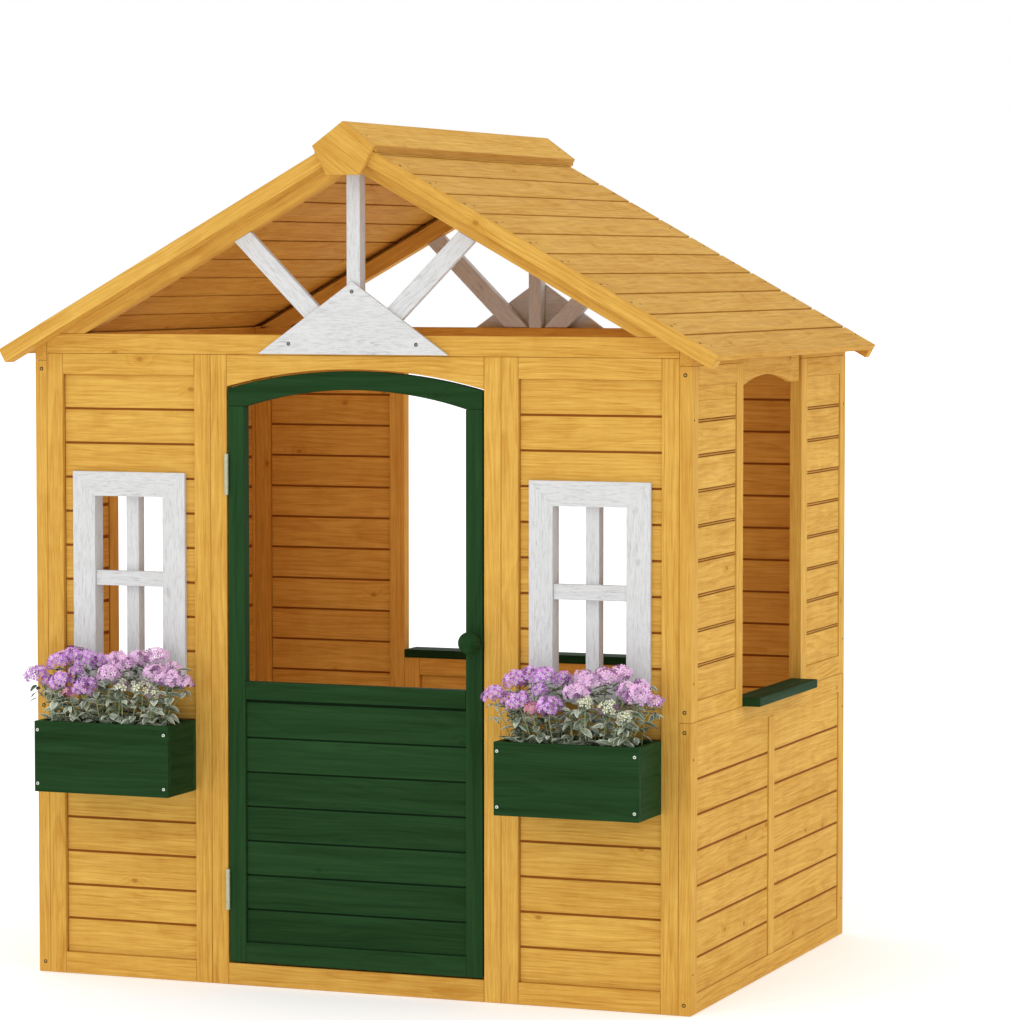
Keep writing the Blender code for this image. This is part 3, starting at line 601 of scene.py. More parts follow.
def make_screws():
    heads = {"proud": [], "sunk": [], "stained": []}
    recesses = []
    for place, facing, radius, kind in SCREWS:
        if kind != "proud":
            # A near-black disc round a sunk head: painted shade in its hole.
            hole = [(radius, -0.0008), (radius, 0.00008), (radius * 0.9, 0.00012)]
            recesses.append(lathe(hole, place, facing))
            radius *= 0.56
        profile = [(radius, -0.001), (radius, 0.0002), (radius * 0.86, 0.0006),
                   (radius * 0.55, 0.0008), (radius * 0.2, 0.00085)]
        heads[kind].append(lathe(profile, place, facing))
        turn = turned(place, facing) @ Matrix.Rotation(RANDOM.uniform(0, math.pi / 2), 4, "Z")
        recesses.append(cross_recess(turn, radius, kind))
    mesh_piece("house_screw_heads", gather(heads["proud"]), STEEL)
    mesh_piece("house_sunk_heads", gather(heads["sunk"]), SUNK_HEAD)
    mesh_piece("house_stained_heads", gather(heads["stained"]), STAINED_HEAD)
    mesh_piece("house_screw_recesses", gather(recesses), RECESS_SHADE, smooth=False)
    # Roof nails are drawn as dark holes in the same painted shade.
    nails = [lathe([(radius, -0.0006), (radius, 0.00012), (radius / 2, 0.00025)], place, facing, 10)
             for place, facing, radius in NAILS]
    mesh_piece("roof_nails", gather(nails), RECESS_SHADE)


# ---- Walls ----

def panel_turn(node, degrees):
    """The frame of a panel: x along its width, y into it from the outer face, z up."""
    low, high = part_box(node)
    corner = {0: (low.x, low.y), 90: (high.x, low.y), 180: (high.x, high.y), -90: (low.x, high.y)}
    spot = Vector((*corner[degrees], low.z))
    return Matrix.Translation(spot) @ Matrix.Rotation(math.radians(degrees), 4, "Z")


def panel(node, degrees, stiles, levels, recess, inner_recess, groove=0.0034, tongue=0.0021,
          glow=0.15, hole=None, bead=0.0):
    """A framed panel of let-in boards.

    stiles are (left, right) pairs across the width. levels are the heights of the boards' edges,
    with a rail below the lowest and above the highest. recess is how far the boards lie behind the
    stiles outdoors and inner_recess indoors. tongue is how deep the tongues lie between the boards,
    and glow how light they are: their darkness is painted shade in the grooves. hole is a clear
    opening as its low and high corner. bead is the height of a raised strip along the middle of
    each groove, where there is one; it too is darkened a little as painted shade.
    """
    low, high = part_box(node)
    turn = panel_turn(node, degrees)
    thickness = (high.y - low.y) if degrees in (0, 180) else (high.x - low.x)
    height = high.z - low.z
    made = Boards(node + "_boards")
    seam = 0.00012
    for left, right in (stiles[0], stiles[-1]):
        made.box((left, 0, 0), (right, thickness, height), turn, along=2)
    for bottom, top in ((0, levels[0]), (levels[-1], height)):
        made.box((stiles[0][1] + seam, 0, bottom), (stiles[-1][0] - seam, thickness, top), turn)
    for left, right in stiles[1:-1]:
        made.box((left, 0, levels[0] + seam), (right, thickness, levels[-1] - seam), turn, along=2)
    for (_, left), (right, _) in zip(stiles[:-1], stiles[1:]):
        faces = (recess, thickness - inner_recess)
        column(made, turn, left, right, levels, faces, groove, tongue, glow, hole)
        # Beads at shade 0.62: painted shade on the grooves' floors.
        for level in levels[1:-1] if bead else ():
            made.box((left + 0.0002, recess + 0.0006, level - bead / 2),
                     (right - 0.0002, recess + tongue - 0.0002, level + bead / 2), turn, shade=0.62)
    made.make(node)


def column(made, turn, left, right, levels, faces, groove, tongue, glow, hole):
    """One column of boards, with dark tongues in the grooves and dark strips in the gaps at their
    ends; their darkness is painted shade.
    """
    front, back = faces
    end_gap = 0.0008
    end_strip = 0.003
    lap = 0.004               # how far a tongue reaches above and below its groove's middle
    half = groove / 2
    last = len(levels) - 2
    for number, (bottom, top) in enumerate(zip(levels[:-1], levels[1:])):
        bottom += half if number else 0.0
        top -= half if number < last else 0.0
        for outline in cut_round(left + end_gap, right - end_gap, bottom, top, hole):
            made.prism(outline, front, back, turn @ XZ)
    # Strips at shade 0.3 in the gaps at the boards' ends: painted shade beside the stiles.
    for start in (left, right - end_strip):
        made.box((start, front + 0.001, levels[0]), (start + end_strip, back - 0.001, levels[-1]),
                 turn, along=2, shade=0.3)
    # Tongues at the glow shade in the grooves: painted shade between the boards.
    for level in levels[1:-1]:
        spans = [(left, right)]
        if hole and hole[0][1] < level < hole[1][1]:
            spans = [(left, hole[0][0] - 0.001), (hole[1][0] + 0.001, right)]
        for start, end in spans:
            made.box((start, front + tongue, level - lap), (end, back - 0.0024, level + lap), turn,
                     shade=glow)


def cut_round(left, right, bottom, top, hole):
    """Outlines of a board that keep clear of the hole."""
    if not hole or top <= hole[0][1] or bottom >= hole[1][1]:
        return [rectangle((left, bottom), (right, top))]
    (start, low), (end, high) = hole
    if bottom < low:
        notch = [(end, top), (end, low), (start, low), (start, top)]
        return [[(left, bottom), (right, bottom), (right, top), *notch, (left, top)]]
    if top > high:
        notch = [(start, bottom), (start, high), (end, high), (end, bottom)]
        return [[(left, bottom), *notch, (right, bottom), (right, top), (left, top)]]
    return [rectangle((left, bottom), (start, top)), rectangle((end, bottom), (right, top))]


def full_panel(node, degrees, levels=FULL_LEVELS, hole=None):
    low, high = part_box(node)
    width = high.x - low.x
    stiles = [(0, PANEL_STILE), (width - PANEL_STILE, width)]
    panel(node, degrees, stiles, levels, 0.007, 0.007, hole=hole)


def build_front_wall():
    edge = GAP + LINING
    for side in ("left", "right"):
        low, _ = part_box(f"front_{side}_panel")
        bars_low, bars_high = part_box(f"window_bars_{side}")
        hole = ((bars_low.x - low.x - edge, bars_low.z - low.z - edge),
                (bars_high.x - low.x + edge, bars_high.z - low.z + edge))
        full_panel(f"front_{side}_panel", 0, hole=hole)
        one_box(f"door_jamb_{side}", "_post", along=2)
        build_window(side)
        build_planter(side)
    # shade 0.88 is painted shade on the threshold, low in the doorway.
    one_box("door_threshold", shade=0.88)
    low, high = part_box("door_header")
    arch = arc(-high.x, high.x, low.z, 0.9697)
    one_prism("door_header", arch + [(high.x, high.z), (-high.x, high.z)], low.y, high.y)


def mitred(made, outer, inner, start, end):
    """Four boards mitred at their corners, between an outer and an inner rectangle."""
    a, b, c, d = rectangle(*outer)          # corners, from the lower left, anticlockwise
    e, f, g, h = rectangle(*inner)
    for outline, along in (([a, e, h, d], (0, 1)), ([b, c, g, f], (0, 1)),
                           ([d, h, g, c], (1, 0)), ([a, b, f, e], (1, 0))):
        made.prism(outline, start, end, along=along)


def build_window(side):
    bars_low, bars_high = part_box(f"window_bars_{side}")
    inner = ((bars_low.x - GAP, bars_low.z - GAP), (bars_high.x + GAP, bars_high.z + GAP))
    lined = ((inner[0][0] - LINING, inner[0][1] - LINING),
             (inner[1][0] + LINING, inner[1][1] + LINING))
    for node in (f"window_trim_{side}", f"window_inner_trim_{side}"):
        low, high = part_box(node)
        trim = Boards(node + "_boards", WHITE, bevel=0.00012)
        mitred(trim, ((low.x, low.z), (high.x, high.z)), inner, low.y, high.y)
        if node.startswith("window_trim"):
            mitred(trim, lined, inner, high.y + 0.0001, high.y + BOARD + 0.0004)
        trim.make(node)
    middle = (bars_low.x + bars_high.x) / 2
    level = 0.6356
    tall, wide = 0.01175, 0.01075     # half the widths of the cross bar and of the upright
    bars = Boards(f"window_bars_{side}_cross", WHITE, bevel=0.0007)
    bars.box((bars_low.x, bars_low.y, level - tall), (bars_high.x, FRONT + 0.015, level + tall))
    bars.box((middle - wide, FRONT + 0.014, bars_low.z), (middle + wide, bars_high.y, bars_high.z),
             along=2)
    bars.make(f"window_bars_{side}")


def build_side_wall(side, degrees):
    sign = 1 if side == "right" else -1
    depth = BACK - FRONT
    middle = depth / 2
    stiles = [(0, 0.03), (middle - 0.015, middle + 0.015), (depth - 0.03, depth)]
    panel(f"{side}_lower_panel", degrees, stiles, LOW_LEVELS, 0.002, 0.0015, glow=0.18)
    for end in ("front", "back"):
        node = f"{side}_{end}_upper_panel"
        low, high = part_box(node)
        width = high.y - low.y
        widths = (0.03, 0.0325) if (end == "front") == (sign > 0) else (0.0325, 0.03)
        stiles = [(0, widths[0]), (width - widths[1], width)]
        panel(node, degrees, stiles, UPPER_LEVELS, 0.002, 0.0015, 0.0052, 0.0028, bead=0.0028)

    header_low, header_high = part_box(f"{side}_hatch_header")
    spring, top = header_low.z, header_high.z
    arch = arc(sign * -0.149, sign * 0.105, spring, spring + 0.0153)
    arch = [(y + MIDDLE, z) for y, z in arch]
    start, end = (header_low.y, header_high.y) if sign > 0 else (header_high.y, header_low.y)
    outline = [(start, spring)] + arch + [(end, spring), (end, top), (start, top)]
    one_prism(f"{side}_hatch_header", outline, header_low.x, header_high.x, turn=YZ)
    # shade 0.8 is painted shade, which darkens the sill's sky-lit top.
    one_box(f"{side}_sill", material=GREEN, bevel=0.0016, along=1, shade=0.8)

    behind = header_low.x - GAP if sign > 0 else header_high.x + GAP
    build_wall_plate(f"{side}_wall_plate", sign, behind)
    for y, facing in ((FRONT, -1), (BACK, 1)):
        for z in (0.966, 0.4595, 0.429, 0.016):
            screw((sign * 0.539, y, z), (0, facing, 0), 0.0031, "stained")
        for z in (0.898, 0.502, 0.3875, 0.0615):
            NAILS.append((Vector((sign * SIDE, y - facing * 0.0105, z)), Vector((sign, 0, 0)),
                          0.0018))


def build_wall_plate(node, sign, behind):
    """The beam under the roof. It is thinner where the hatch's header hangs outside it."""
    low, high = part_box(node)
    plate = Boards(node + "_beam")
    top_in = high.z - 0.0026
    inner, outer = (low.x, high.x) if sign > 0 else (high.x, low.x)
    hatch_low, hatch_high = MIDDLE - 0.1555, MIDDLE + 0.1555
    for start, end, face in ((low.y, hatch_low, outer), (hatch_low, hatch_high, behind),
                             (hatch_high, high.y, outer)):
        top_out = top_in - abs(face - inner) * DROP
        outline = [(inner, low.z), (face, low.z), (face, top_out), (inner, top_in)]
        plate.moulding(outline, start, end)
    inset = 0.004             # of the dark strip that fills the seam under the deck, which is painted shade
    inside, outside = inner + sign * inset, outer - sign * inset
    seam = [(inside, top_in - 0.004),
            (outside, top_in - 0.004 - abs(outer - inner) * DROP),
            (outside, high.z - 0.016 * DROP - 0.0006),
            (inside, high.z - 0.004 * DROP - 0.0006)]
    # The seam strip at shade 0 is painted shade in the gap under the deck.
    plate.moulding(seam, low.y + 0.002, high.y - 0.002, shade=0.0)
    plate.make(node)


def build_back_wall():
    full_panel("back_left_panel", 180)
    full_panel("back_right_panel", 180)
    full_panel("back_lower_panel", 180, LOW_LEVELS)
    # shade 0.8 is painted shade, which darkens the sill's sky-lit top.
    one_box("back_sill", material=GREEN, bevel=0.0016, shade=0.8)


# ---- Door ----

def build_door():
    low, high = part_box("door_frame")
    front, back = low.y, high.y
    reach = high.x
    inner = reach - 0.0274
    seam = 0.00015
    spring = 0.9105           # height of the inner arch's ends
    made = Boards("door_frame_boards", GREEN, bevel=0.0012)
    made.box((-reach, front, low.z), (-inner, back, spring - seam), along=2)
    made.box((inner, front, low.z), (reach, back, spring - seam), along=2)
    outer_arch = arc(-reach, reach, 0.9385, 0.9668)
    inner_arch = arc(inner, -inner, spring, 0.9377)
    made.prism([(-reach, spring + seam)] + outer_arch + [(reach, spring + seam)] + inner_arch,
               front, back)
    made.box((-inner + seam, front, DOOR_LEVELS[-1]), (inner - seam, back, 0.4794))
    made.box((-inner + seam, front, low.z), (inner - seam, back, DOOR_LEVELS[0]))
    made.make("door_frame", "door")

    low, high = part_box("door_boards")
    boards = Boards("door_board_infill", GREEN, bevel=0.0012)
    half = 0.0026 / 2         # of a groove
    for number, (bottom, top) in enumerate(zip(DOOR_LEVELS[:-1], DOOR_LEVELS[1:])):
        bottom += half if number else GAP
        top -= half if number < 6 else 0.0045
        boards.box((low.x, low.y, bottom), (high.x, high.y, top))
    # Tongues at shade 0.25 in the grooves: painted shade between the boards.
    for level in DOOR_LEVELS[1:-1] + [high.z - 0.004]:
        boards.box((low.x, low.y + 0.0022, level - 0.004), (high.x, high.y - 0.0022, level + 0.004),
                   shade=0.25)
    boards.make("door_boards", "door")
    build_knob()
    for level in ("upper", "lower"):
        for owner in ("jamb", "door"):
            leaf_mesh = frame["nodes"][f"hinge_{level}_{owner}_leaf"].data
            leaf_mesh.materials.clear()
            leaf_mesh.materials.append(HINGE)


def build_knob():
    """A ball on a neck and a round foot, turned from one piece."""
    low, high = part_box("door_knob")
    centre = Vector(((low.x + high.x) / 2, FRONT, (low.z + high.z) / 2))
    radius = (high.x - low.x) / 2
    neck = 0.0078
    profile = [(0.011, 0.0003), (0.011, 0.0024), (0.0104, 0.0031), (0.0084, 0.004), (neck, 0.0062)]
    ball = 0.022              # how far the ball's middle stands out
    start = math.asin(neck / radius)
    for step in range(1, 25):
        angle = start + (math.pi - start) * step / 24.4
        profile.append((radius * math.sin(angle), ball - radius * math.cos(angle)))
    points, faces = lathe(profile, centre, Vector((0, -1, 0)), 48)
    local = [point - centre for point in points]
    count = len(points)
    mesh_piece("door_knob_turned", (points, faces), GREEN, "door", nodes=("door_knob",),
               vectors={"grain": [(-p.y + 3.0, p.x + 0.02, p.z + 0.03) for p in local],
                        "local": [(0, 0, 0)] * count, "half": [(1, 1, 1)] * count},
               numbers={"tone": [0.0] * count, "shade": [1.0] * count})


# ---- Trusses and roof ----

def lower_top(outline, drop):
    """A rafter's outline with its upper edge lowered, which leaves a dark gap under the deck."""
    above = [z + DROP * abs(x) for x, z in outline]
    return [(x, z - drop if height > max(above) - 0.003 else z)
            for (x, z), height in zip(outline, above)]


def build_truss(end):
    pieces = {
        "tie_beam": (HONEY, (1, 0)),
        "rafter_left": (HONEY, (1, DROP)),
        "rafter_right": (HONEY, (1, -DROP)),
        "king_post": (WHITE, (0, 1)),
        "strut_left": (WHITE, (-1, 1)),
        "strut_right": (WHITE, (1, 1)),
        "gusset": (WHITE, (1, 0)),
    }
    for name, (material, along) in pieces.items():
        node = f"{end}_{name}"
        low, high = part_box(node)
        outline = outline_of(node)
        if end == "back" and "rafter" in name:
            outline = lower_top(outline, 0.0048)
        one_prism(node, outline, low.y, high.y, material=material, bevel=0.0008, along=along)
    low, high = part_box(f"{end}_gusset")
    face, facing = (low.y, -1) if end == "front" else (high.y, 1)
    side = high.x - 0.0525
    for x, z in ((-side, low.z + 0.016), (side, low.z + 0.016), (0.0, high.z - 0.0155)):
        screw((x, face, z), (0, facing, 0), 0.003, "sunk")


def build_roof(side):
    """Eleven boards on battens, modelled flat and turned onto the slope about the ridge line."""
    sign = 1 if side == "right" else -1
    node = f"roof_panel_{side}"
    low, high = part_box(node)
    turn = (Matrix.Translation((0, 0, 1.3292)) @ Matrix.Rotation(sign * SLOPE, 4, "Y")
            @ Matrix.Scale(sign, 4, (1, 0, 0)))
    normal = (turn.to_3x3() @ Vector((0, 0, 1))).normalized()
    eave = 0.6857             # from the ridge line, down the slope
    pitch = eave / 11
    groove = 0.004
    fascia = 0.0055
    deck_front = low.y + fascia + 0.0002
    made = Boards(node + "_boards")
    for number in range(11):
        left = number * pitch + (groove / 2 if number else 0.006)
        right = (number + 1) * pitch - (groove / 2 if number < 10 else 0)
        # shade 0.93 is painted shade: the sky-facing roof boards are drawn a little darker than the
        # walls' boards.
        made.box((left, deck_front, -0.01), (right, high.y, 0), turn, along=1, shade=0.93)
        # Dark strips at shade 0 under each groove: painted shade between the boards.
        if number:
            level = number * pitch
            made.box((level - 0.004, deck_front + 0.002, -0.0072),
                     (level + 0.004, high.y - 0.002, -0.0028), turn, along=1, shade=0.0)
        for y, radius in ((low.y + 0.013, 0.0026), (low.y + 0.04, 0.0016),
                          (high.y - 0.013, 0.0026), (high.y - 0.036, 0.0016)):
            across = left + (0.5 + RANDOM.uniform(-0.12, 0.12)) * (right - left)
            NAILS.append((turn @ Vector((across, y, 0)), normal, radius))
    ridge = 0.0136
    edge = -0.024             # lower faces of the fascia and the battens
    under = -0.0101           # just under the deck
    tail = (SIDE + 0.001 - edge * math.sin(SLOPE)) / math.cos(SLOPE)
    made.box((ridge, low.y, edge), (eave, low.y + fascia, 0), turn)
    made.box((ridge, deck_front, edge), (eave, FRONT - GAP, under), turn)
    made.box((ridge, BACK + GAP, edge), (eave, high.y, under), turn)
    # A dark strip at shade 0 over the rear batten, seen in the grooves: painted shade.
    made.box((ridge + 0.002, BACK + 0.004, -0.0102), (eave - 0.002, BACK + 0.012, -0.005), turn,
             shade=0.0)
    made.box((tail, high.y - 0.022, edge), (eave, BACK, under), turn)
    made.make(node)


def shaded_edge_strip(outline):
    """A thin strip over the outer edge of a cap board, darker than its face as painted shade on
    that edge.
    """
    one, two = sorted((Vector(point) for point in outline), key=lambda point: -abs(point.x))[:2]
    run = (two - one).normalized()
    out = Vector((-run.y, run.x))
    out *= 0.0003 if out.x * one.x > 0 else -0.0003
    one, two = one + run * 0.0006, two - run * 0.0006
    return [one - out, two - out, two + out, one + out]


def build_ridge():
    for side, sign in (("left", -1), ("right", 1)):
        node = f"ridge_board_{side}"
        low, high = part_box(node)
        made = Boards(node + "_cap", bevel=0.001)
        outline = outline_of(node)
        made.moulding(outline, low.y, high.y)
        # The edge strip at shade 0.66 is painted shade.
        made.moulding(shaded_edge_strip(outline), low.y + 0.0004, high.y - 0.0004, shade=0.66)
        made.make(node)
        fall = (high.z - 1.3125) / (high.x if sign > 0 else -low.x)
        for y in (low.y + 0.014, high.y - 0.014):
            screw((sign * 0.03, y, high.z - fall * 0.03), (sign * fall, 0, 1), 0.0024, "stained")
    for end in ("front", "back"):
        node = f"ridge_end_{end}"
        low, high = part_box(node)
        one_prism(node, outline_of(node), low.y, high.y, "_plate", bevel=0.001, along=(1, -0.75))


# ---- Planters and flowers ----

def build_planter(side):
    low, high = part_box(f"planter_{side}")
    board = 0.01
    made = Boards(f"planter_{side}_boards", GREEN, bevel=0.001)
    made.box(low, (high.x, low.y + board, high.z))
    made.box((low.x, high.y - board, low.z), high)
    for left, right in ((low.x, low.x + board), (high.x - board, high.x)):
        made.box((left, low.y + board + 0.0002, low.z), (right, high.y - board - 0.0002, high.z),
                 along=1)
    made.box((low.x + board, low.y + board, low.z), (high.x - board, high.y - board, low.z + board))
    made.make(f"planter_{side}")
    for x in (low.x + 0.0055, high.x - 0.0075):
        for z in (low.z + 0.013, high.z - 0.014):
            screw((x, low.y, z), (0, -1, 0), 0.0026)
    build_flowers(side, low, high, board)


def floret(centre, normal, size, twist):
    """Five notched petals round a short tube, as points, faces and distances from the middle."""
    turn = normal.to_track_quat("Z", "Y").to_matrix() @ Matrix.Rotation(twist, 3, "Z")
    shape = [(0.03, 0.0, -0.16, 0.0), (0.34, 0.15, 0.0, 0.34), (0.34, -0.15, 0.0, 0.34),
             (0.78, 0.36, 0.05, 0.8), (0.72, 0.0, 0.15, 0.75), (0.78, -0.36, 0.05, 0.8),
             (1.04, 0.2, -0.04, 1.0), (0.88, 0.0, 0.05, 0.95), (1.04, -0.2, -0.04, 1.0)]
    quads = [(0, 2, 4, 1), (1, 4, 3), (2, 5, 4), (3, 4, 7, 6), (4, 5, 8, 7)]
    petals_made = []
    for petal in range(5):
        spin = Matrix.Rotation(2 * math.pi * petal / 5, 3, "Z")
        points = [centre + turn @ (spin @ Vector((x * size, y * size, z * size)))
                  for x, y, z, _ in shape]
        petals_made.append((points, quads))
    return gather(petals_made), [out for *_, out in shape] * 5


def leaf(root, direction, up, length, width, curl):
    """A pointed oval blade folded a little along its rib and drooping towards its tip."""
    side = direction.cross(up).normalized()
    normal = side.cross(direction).normalized()
    rows = 6
    points = []
    blade = []
    for row in range(rows + 1):
        along = row / rows
        swell = math.sin(math.pi * min(1.0, along * 0.94 + 0.05)) ** 0.75 * (1 - 0.25 * along)
        middle = root + direction * (length * along) - normal * (curl * length * along * along)
        for across in (-1, 0, 1):
            reach = side * (across * width * 0.5 * swell)
            lift = normal * (abs(across) * width * 0.16 * swell)
            points.append(middle + reach + lift)
            blade.append((along, across))
    return points, grid_faces(rows, 3), blade


def stalk(start, end, bend, radius, sides=6, steps=6):
    """A thin tube along a bent line."""
    points = []
    for step in range(steps + 1):
        share = step / steps
        middle = start.lerp(end, share) + bend * (4 * share * (1 - share))
        for number in range(sides):
            angle = 2 * math.pi * number / sides
            points.append(middle + Vector((math.cos(angle), math.sin(angle), 0)) * radius
                          * (1.1 - 0.4 * share))
    return points, grid_faces(steps, sides, closed=True)


# Flower heads in a planter, in mm: how far each lies to the right of its middle, behind its front
# and above its rim, its size, and its tint (0 violet, 1 pink, 2 cream buds, 3 rose buds).
HEADS = [
    (-124, 20, 68, 17.5, 0), (-112, 34, 60, 12, 0), (-94, 40, 87, 19.5, 0), (-76, 52, 96, 18, 0),
    (-52, 46, 94, 18, 0), (-34, 64, 86, 16.5, 0), (-58, 30, 78, 12, 0), (-80, 14, 60, 18.5, 0),
    (-34, 10, 56, 20, 0), (8, 18, 74, 19, 1), (4, 56, 93, 16.5, 1), (24, 30, 90, 16.5, 1),
    (42, 46, 98, 18, 1), (64, 60, 103, 17.5, 1), (79, 34, 77, 17.5, 1), (94, 60, 82, 15, 1),
    (105, 24, 70, 20, 1), (124, 40, 66, 12, 1), (30, 8, 62, 12, 2), (66, 8, 57, 15, 2),
    (86, 8, 46, 12, 2), (-62, 8, 48, 10, 3),
]
GOLDEN_ANGLE = 2.39996


class Bunch:
    """One planter's flowers, gathered as florets, leaves and stalks."""

    def __init__(self, low, high, board, dice):
        self.low = low
        self.high = high
        self.board = board
        self.dice = dice
        self.draw = dice.uniform
        self.middle = (low.x + high.x) / 2
        self.rim = high.z
        self.florets = []
        self.bloom = []
        self.blades = []
        self.blade = []
        self.tubes = []

    def leaf(self, root, direction, length, width, curl):
        """A leaf, lifted clear of the planter's boards and darker the further back it grows, as
        painted shade.
        """
        draw, low, board = self.draw, self.low, self.board
        up = Vector((draw(-0.3, 0.3), draw(-0.6, 0.0), 1))
        points, faces, blade = leaf(root, direction.normalized(), up, length, width, curl)
        lowest = min(point.z for point in points)
        inside = (low.y + board < min(point.y for point in points)
                  and low.x + board < min(point.x for point in points)
                  and max(point.x for point in points) < self.high.x - board)
        if lowest < self.rim + 0.0005 and not inside:
            lift = self.rim + 0.0006 - lowest
            points = [point + Vector((0, 0, lift)) for point in points]
        self.blades.append((points, faces))
        depth = sum(point.y for point in points) / len(points) - low.y
        shade = self.dice.random()
        # Painted shade: leaves further back are drawn darker.
        shade *= 1.0 - 0.62 * min(1.0, max(0.0, (depth - 0.018) / 0.045))
        self.blade += [(along, across, shade) for along, across in blade]

    def head(self, x, y, height, size, tint):
        """A dome of florets on a stalk, with a few leaves under it."""
        draw = self.draw
        x += draw(-0.003, 0.003)
        height += draw(-0.003, 0.003)
        centre = Vector((self.middle + x, self.low.y + 0.004 + y, self.rim + height))
        foot = Vector((self.middle + x * 0.72 + draw(-0.01, 0.01),
                       self.low.y + 0.022 + y * 0.6, self.rim - 0.012))
        bend = Vector((draw(-0.006, 0.006), draw(-0.006, 0.002), 0))
        self.tubes.append(stalk(foot, centre - Vector((0, 0, size * 0.3)), bend, 0.0011))
        heading = Vector((x * 2.2, -0.35 + y * 3.0, 1.0)).normalized()
        turn = heading.to_track_quat("Z", "Y").to_matrix()
        full = tint < 2
        count = max(7, round((size / 0.0185) ** 2 * 34)) if full else 14
        for number in range(count):
            share = (number + 0.5) / count
            polar = math.acos(1 - share * 1.12)
            spin = number * GOLDEN_ANGLE
            out = turn @ Vector((math.sin(polar) * math.cos(spin),
                                 math.sin(polar) * math.sin(spin), math.cos(polar) * 0.8))
            spot = centre + out * size * draw(0.82, 1.12)
            lean = Vector((draw(-0.45, 0.45), draw(-0.65, 0.2), draw(-0.2, 0.4)))
            tilt = (out + lean).normalized()
            reach = 0.0053 * draw(0.82, 1.15) * (1.0 if full else 0.95)
            shape, outs = floret(spot, tilt, reach, draw(0, 6.3))
            self.florets.append(shape)
            # dark is the floret's shade: random, plus painted shade that grows towards the lower
            # rim of the head.
            dark = min(1.0, max(0.0, draw(-1.9, 0.98)) + 0.6 * share * share * share)
            hue = tint + draw(-0.15, 0.15)
            self.bloom += [(value, hue, dark) for value in outs]
            if number % 3 == 0:
                self.tubes.append(stalk(centre - Vector((0, 0, size * 0.25)), spot,
                                        Vector((0, 0, -0.001)), 0.0005, 4, 2))
        for _ in range(8):
            spin = draw(0, 6.3)
            direction = Vector((math.cos(spin), math.sin(spin), draw(-0.6, 0.4)))
            root = centre - Vector((0, 0, size * draw(0.5, 2.2)))
            self.leaf(root, direction, draw(0.012, 0.017), draw(0.007, 0.011), 0.25)

    def stem(self, share):
        """A leafy stem, at this share of the planter's length. The rear ones are taller."""
        draw = self.draw
        x = (share - 0.5) * 0.216 + draw(-0.006, 0.006)
        y = self.dice.choice((draw(0.016, 0.036), draw(0.036, 0.096)))
        in_front = y < 0.036
        foot = Vector((self.middle + x * 0.9, self.low.y + y, self.rim - 0.014))
        tip = foot + Vector((x * 0.2 + draw(-0.008, 0.008), draw(-0.008, 0.004),
                             draw(0.046, 0.08) if in_front else draw(0.08, 0.108)))
        bend = Vector((draw(-0.005, 0.005), draw(-0.004, 0.004), 0))
        self.tubes.append(stalk(foot, tip, bend, 0.0011))
        whorls = 5 if in_front else 7
        for level in range(whorls):
            along = (level + 1.0) / (whorls + 0.1)
            root = foot.lerp(tip, along) + bend * (4 * along * (1 - along))
            spin = level * 1.57 + draw(-0.5, 0.5)
            for angle in (spin, spin + math.pi):
                direction = Vector((math.cos(angle), math.sin(angle), draw(-0.5, 0.5)))
                length = draw(0.017, 0.025) * (1.08 - 0.2 * along)
                self.leaf(root, direction, length, length * draw(0.56, 0.72), draw(0.0, 0.4))

    def rim_leaf(self):
        draw = self.draw
        x = draw(-0.104, 0.104)
        root = Vector((self.middle + x, self.low.y + draw(0.013, 0.034), self.rim - 0.004))
        angle = draw(-2.8, -0.3)
        direction = Vector((math.cos(angle), math.sin(angle) * 0.35, draw(0.25, 1.0)))
        self.leaf(root, direction, draw(0.014, 0.02), draw(0.01, 0.013), 0.25)


def build_flowers(side, low, high, board):
    dice = random.Random(5 if side == "left" else 9)
    bunch = Bunch(low, high, board, dice)
    for *measures, tint in HEADS:
        bunch.head(*(measure / 1000 for measure in measures), tint)
    for number in range(30):
        bunch.stem((number + 0.5) / 30)
    for _ in range(30):
        bunch.rim_leaf()
    mesh_piece(f"flower_heads_{side}", gather(bunch.florets), PETALS, nodes=(f"flowers_{side}",),
               vectors={"bloom": bunch.bloom})
    mesh_piece(f"flower_leaves_{side}", gather(bunch.blades), LEAVES,
               vectors={"blade": bunch.blade})
    mesh_piece(f"flower_stalks_{side}", gather(bunch.tubes), STALKS)
    build_soil(side, low, high, board, dice)


def build_soil(side, low, high, board, dice):
    """A lumpy bed of earth just under the planter's rim."""
    columns, rows = 44, 18
    edge = board + 0.0004
    points = []
    for row in range(rows + 1):
        for column_at in range(columns + 1):
            x = low.x + edge + (high.x - low.x - 2 * edge) * column_at / columns
            y = low.y + edge + (high.y - low.y - 2 * edge) * row / rows
            points.append(Vector((x, y, high.z - 0.016 + dice.uniform(-0.0025, 0.0025))))
    shape = (points, grid_faces(rows, columns + 1))
    mesh_piece(f"planter_soil_{side}", shape, SOIL)


# ---- Stage ----

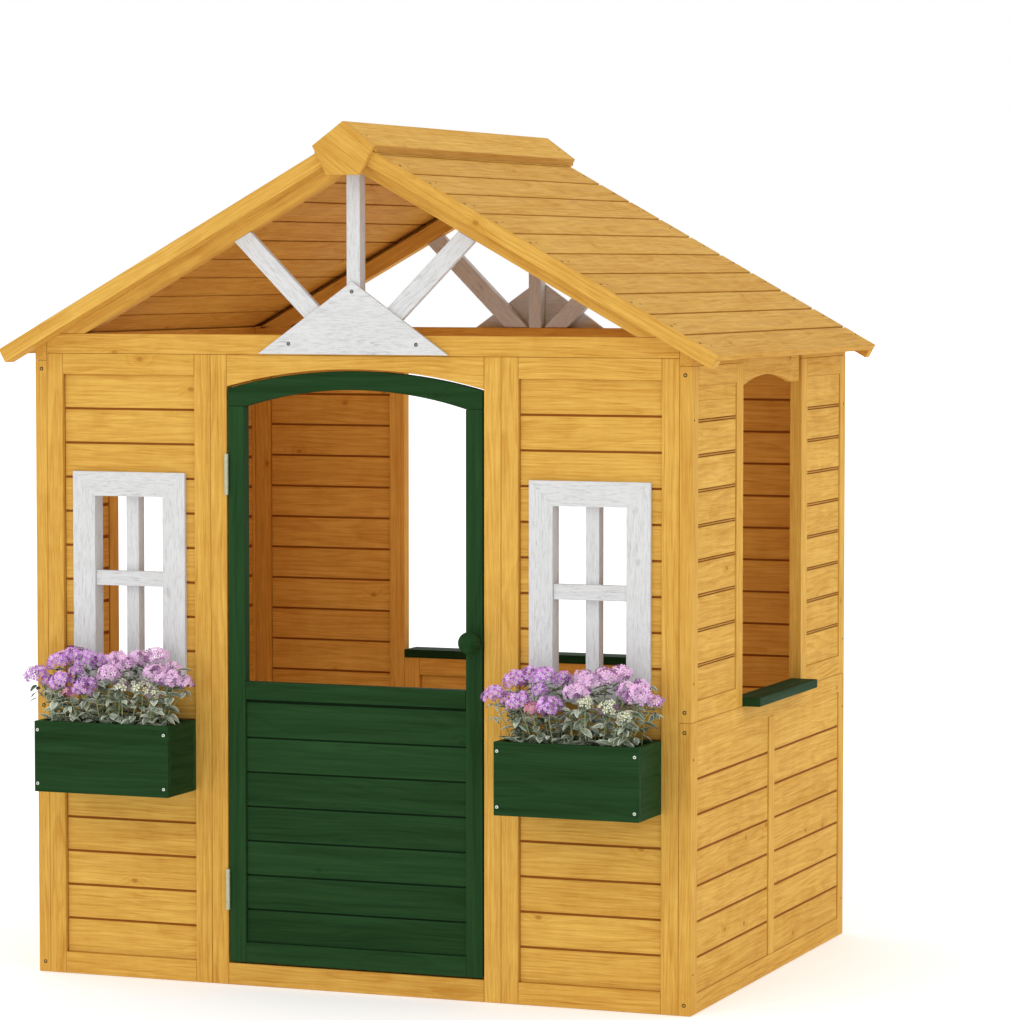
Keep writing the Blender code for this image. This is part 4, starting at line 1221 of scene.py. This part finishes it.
def build_stage():
    reach = 60.0
    corners = [(*corner, -0.0005) for corner in rectangle((-reach, -reach), (reach, reach))]
    add_object("floor", new_mesh("floor", corners, [(0, 1, 2, 3)], floor_paint()))
    build_studio()

    lamp = bpy.data.lights.new("key", "SUN")
    lamp.energy = 0.32
    lamp.angle = math.radians(35)
    key = add_object("key", lamp)
    key.rotation_euler = Vector((0.3, 0.85, -1.0)).to_track_quat("-Z", "Y").to_euler()

    # Stands for the light that bounces between stained boards, and lights nothing else.
    glow = bpy.data.lights.new("fill", "POINT")
    glow.energy = 1.5
    glow.color = (1.0, 0.4, 0.2)
    glow.shadow_soft_size = 0.22
    fill = add_object("fill", glow)
    fill.location = (0.0, MIDDLE, 0.72)
    lit = bpy.data.collections.new("lit_by_fill")
    for piece in bpy.data.objects:
        if piece.type == "MESH" and HONEY in list(piece.data.materials):
            lit.objects.link(piece)
    fill.light_linking.receiver_collection = lit

    view = bpy.context.scene.view_settings
    view.view_transform = "Standard"
    view.look = "None"


def build_studio():
    """A white room, a little dimmer as a light than as it is seen."""
    world = bpy.data.worlds.new("studio")
    bpy.context.scene.world = world
    world.use_nodes = True
    tree = world.node_tree
    as_light = tree.nodes["Background"]
    as_seen = tree.nodes.new("ShaderNodeBackground")
    for background, strength in ((as_light, 0.97), (as_seen, 1.0)):
        background.inputs["Color"].default_value = (1.0, 1.0, 1.0, 1.0)
        background.inputs["Strength"].default_value = strength
    path = tree.nodes.new("ShaderNodeLightPath")
    choice = tree.nodes.new("ShaderNodeMixShader")
    tree.links.new(path.outputs["Is Camera Ray"], choice.inputs[0])
    tree.links.new(as_light.outputs[0], choice.inputs[1])
    tree.links.new(as_seen.outputs[0], choice.inputs[2])
    tree.links.new(choice.outputs[0], tree.nodes["World Output"].inputs[0])


def build_camera():
    yaw = math.radians(21.0788)
    pitch = math.radians(3.4901)
    camera = bpy.data.cameras.new("photo_angle")
    camera.lens = 141.582
    camera.sensor_width = 36.0
    camera.clip_end = 200.0
    eye = add_object("photo_angle", camera)
    eye.location = (2.44177, -6.09237 + MIDDLE, 1.1298)
    eye.rotation_euler = (math.pi / 2 - pitch, 0.0, yaw)
    bpy.context.scene.camera = eye


build_camera()
build_front_wall()
build_side_wall("right", 90)
build_side_wall("left", -90)
build_back_wall()
build_door()
build_truss("front")
build_truss("back")
build_roof("right")
build_roof("left")
build_ridge()
make_screws()
build_stage()
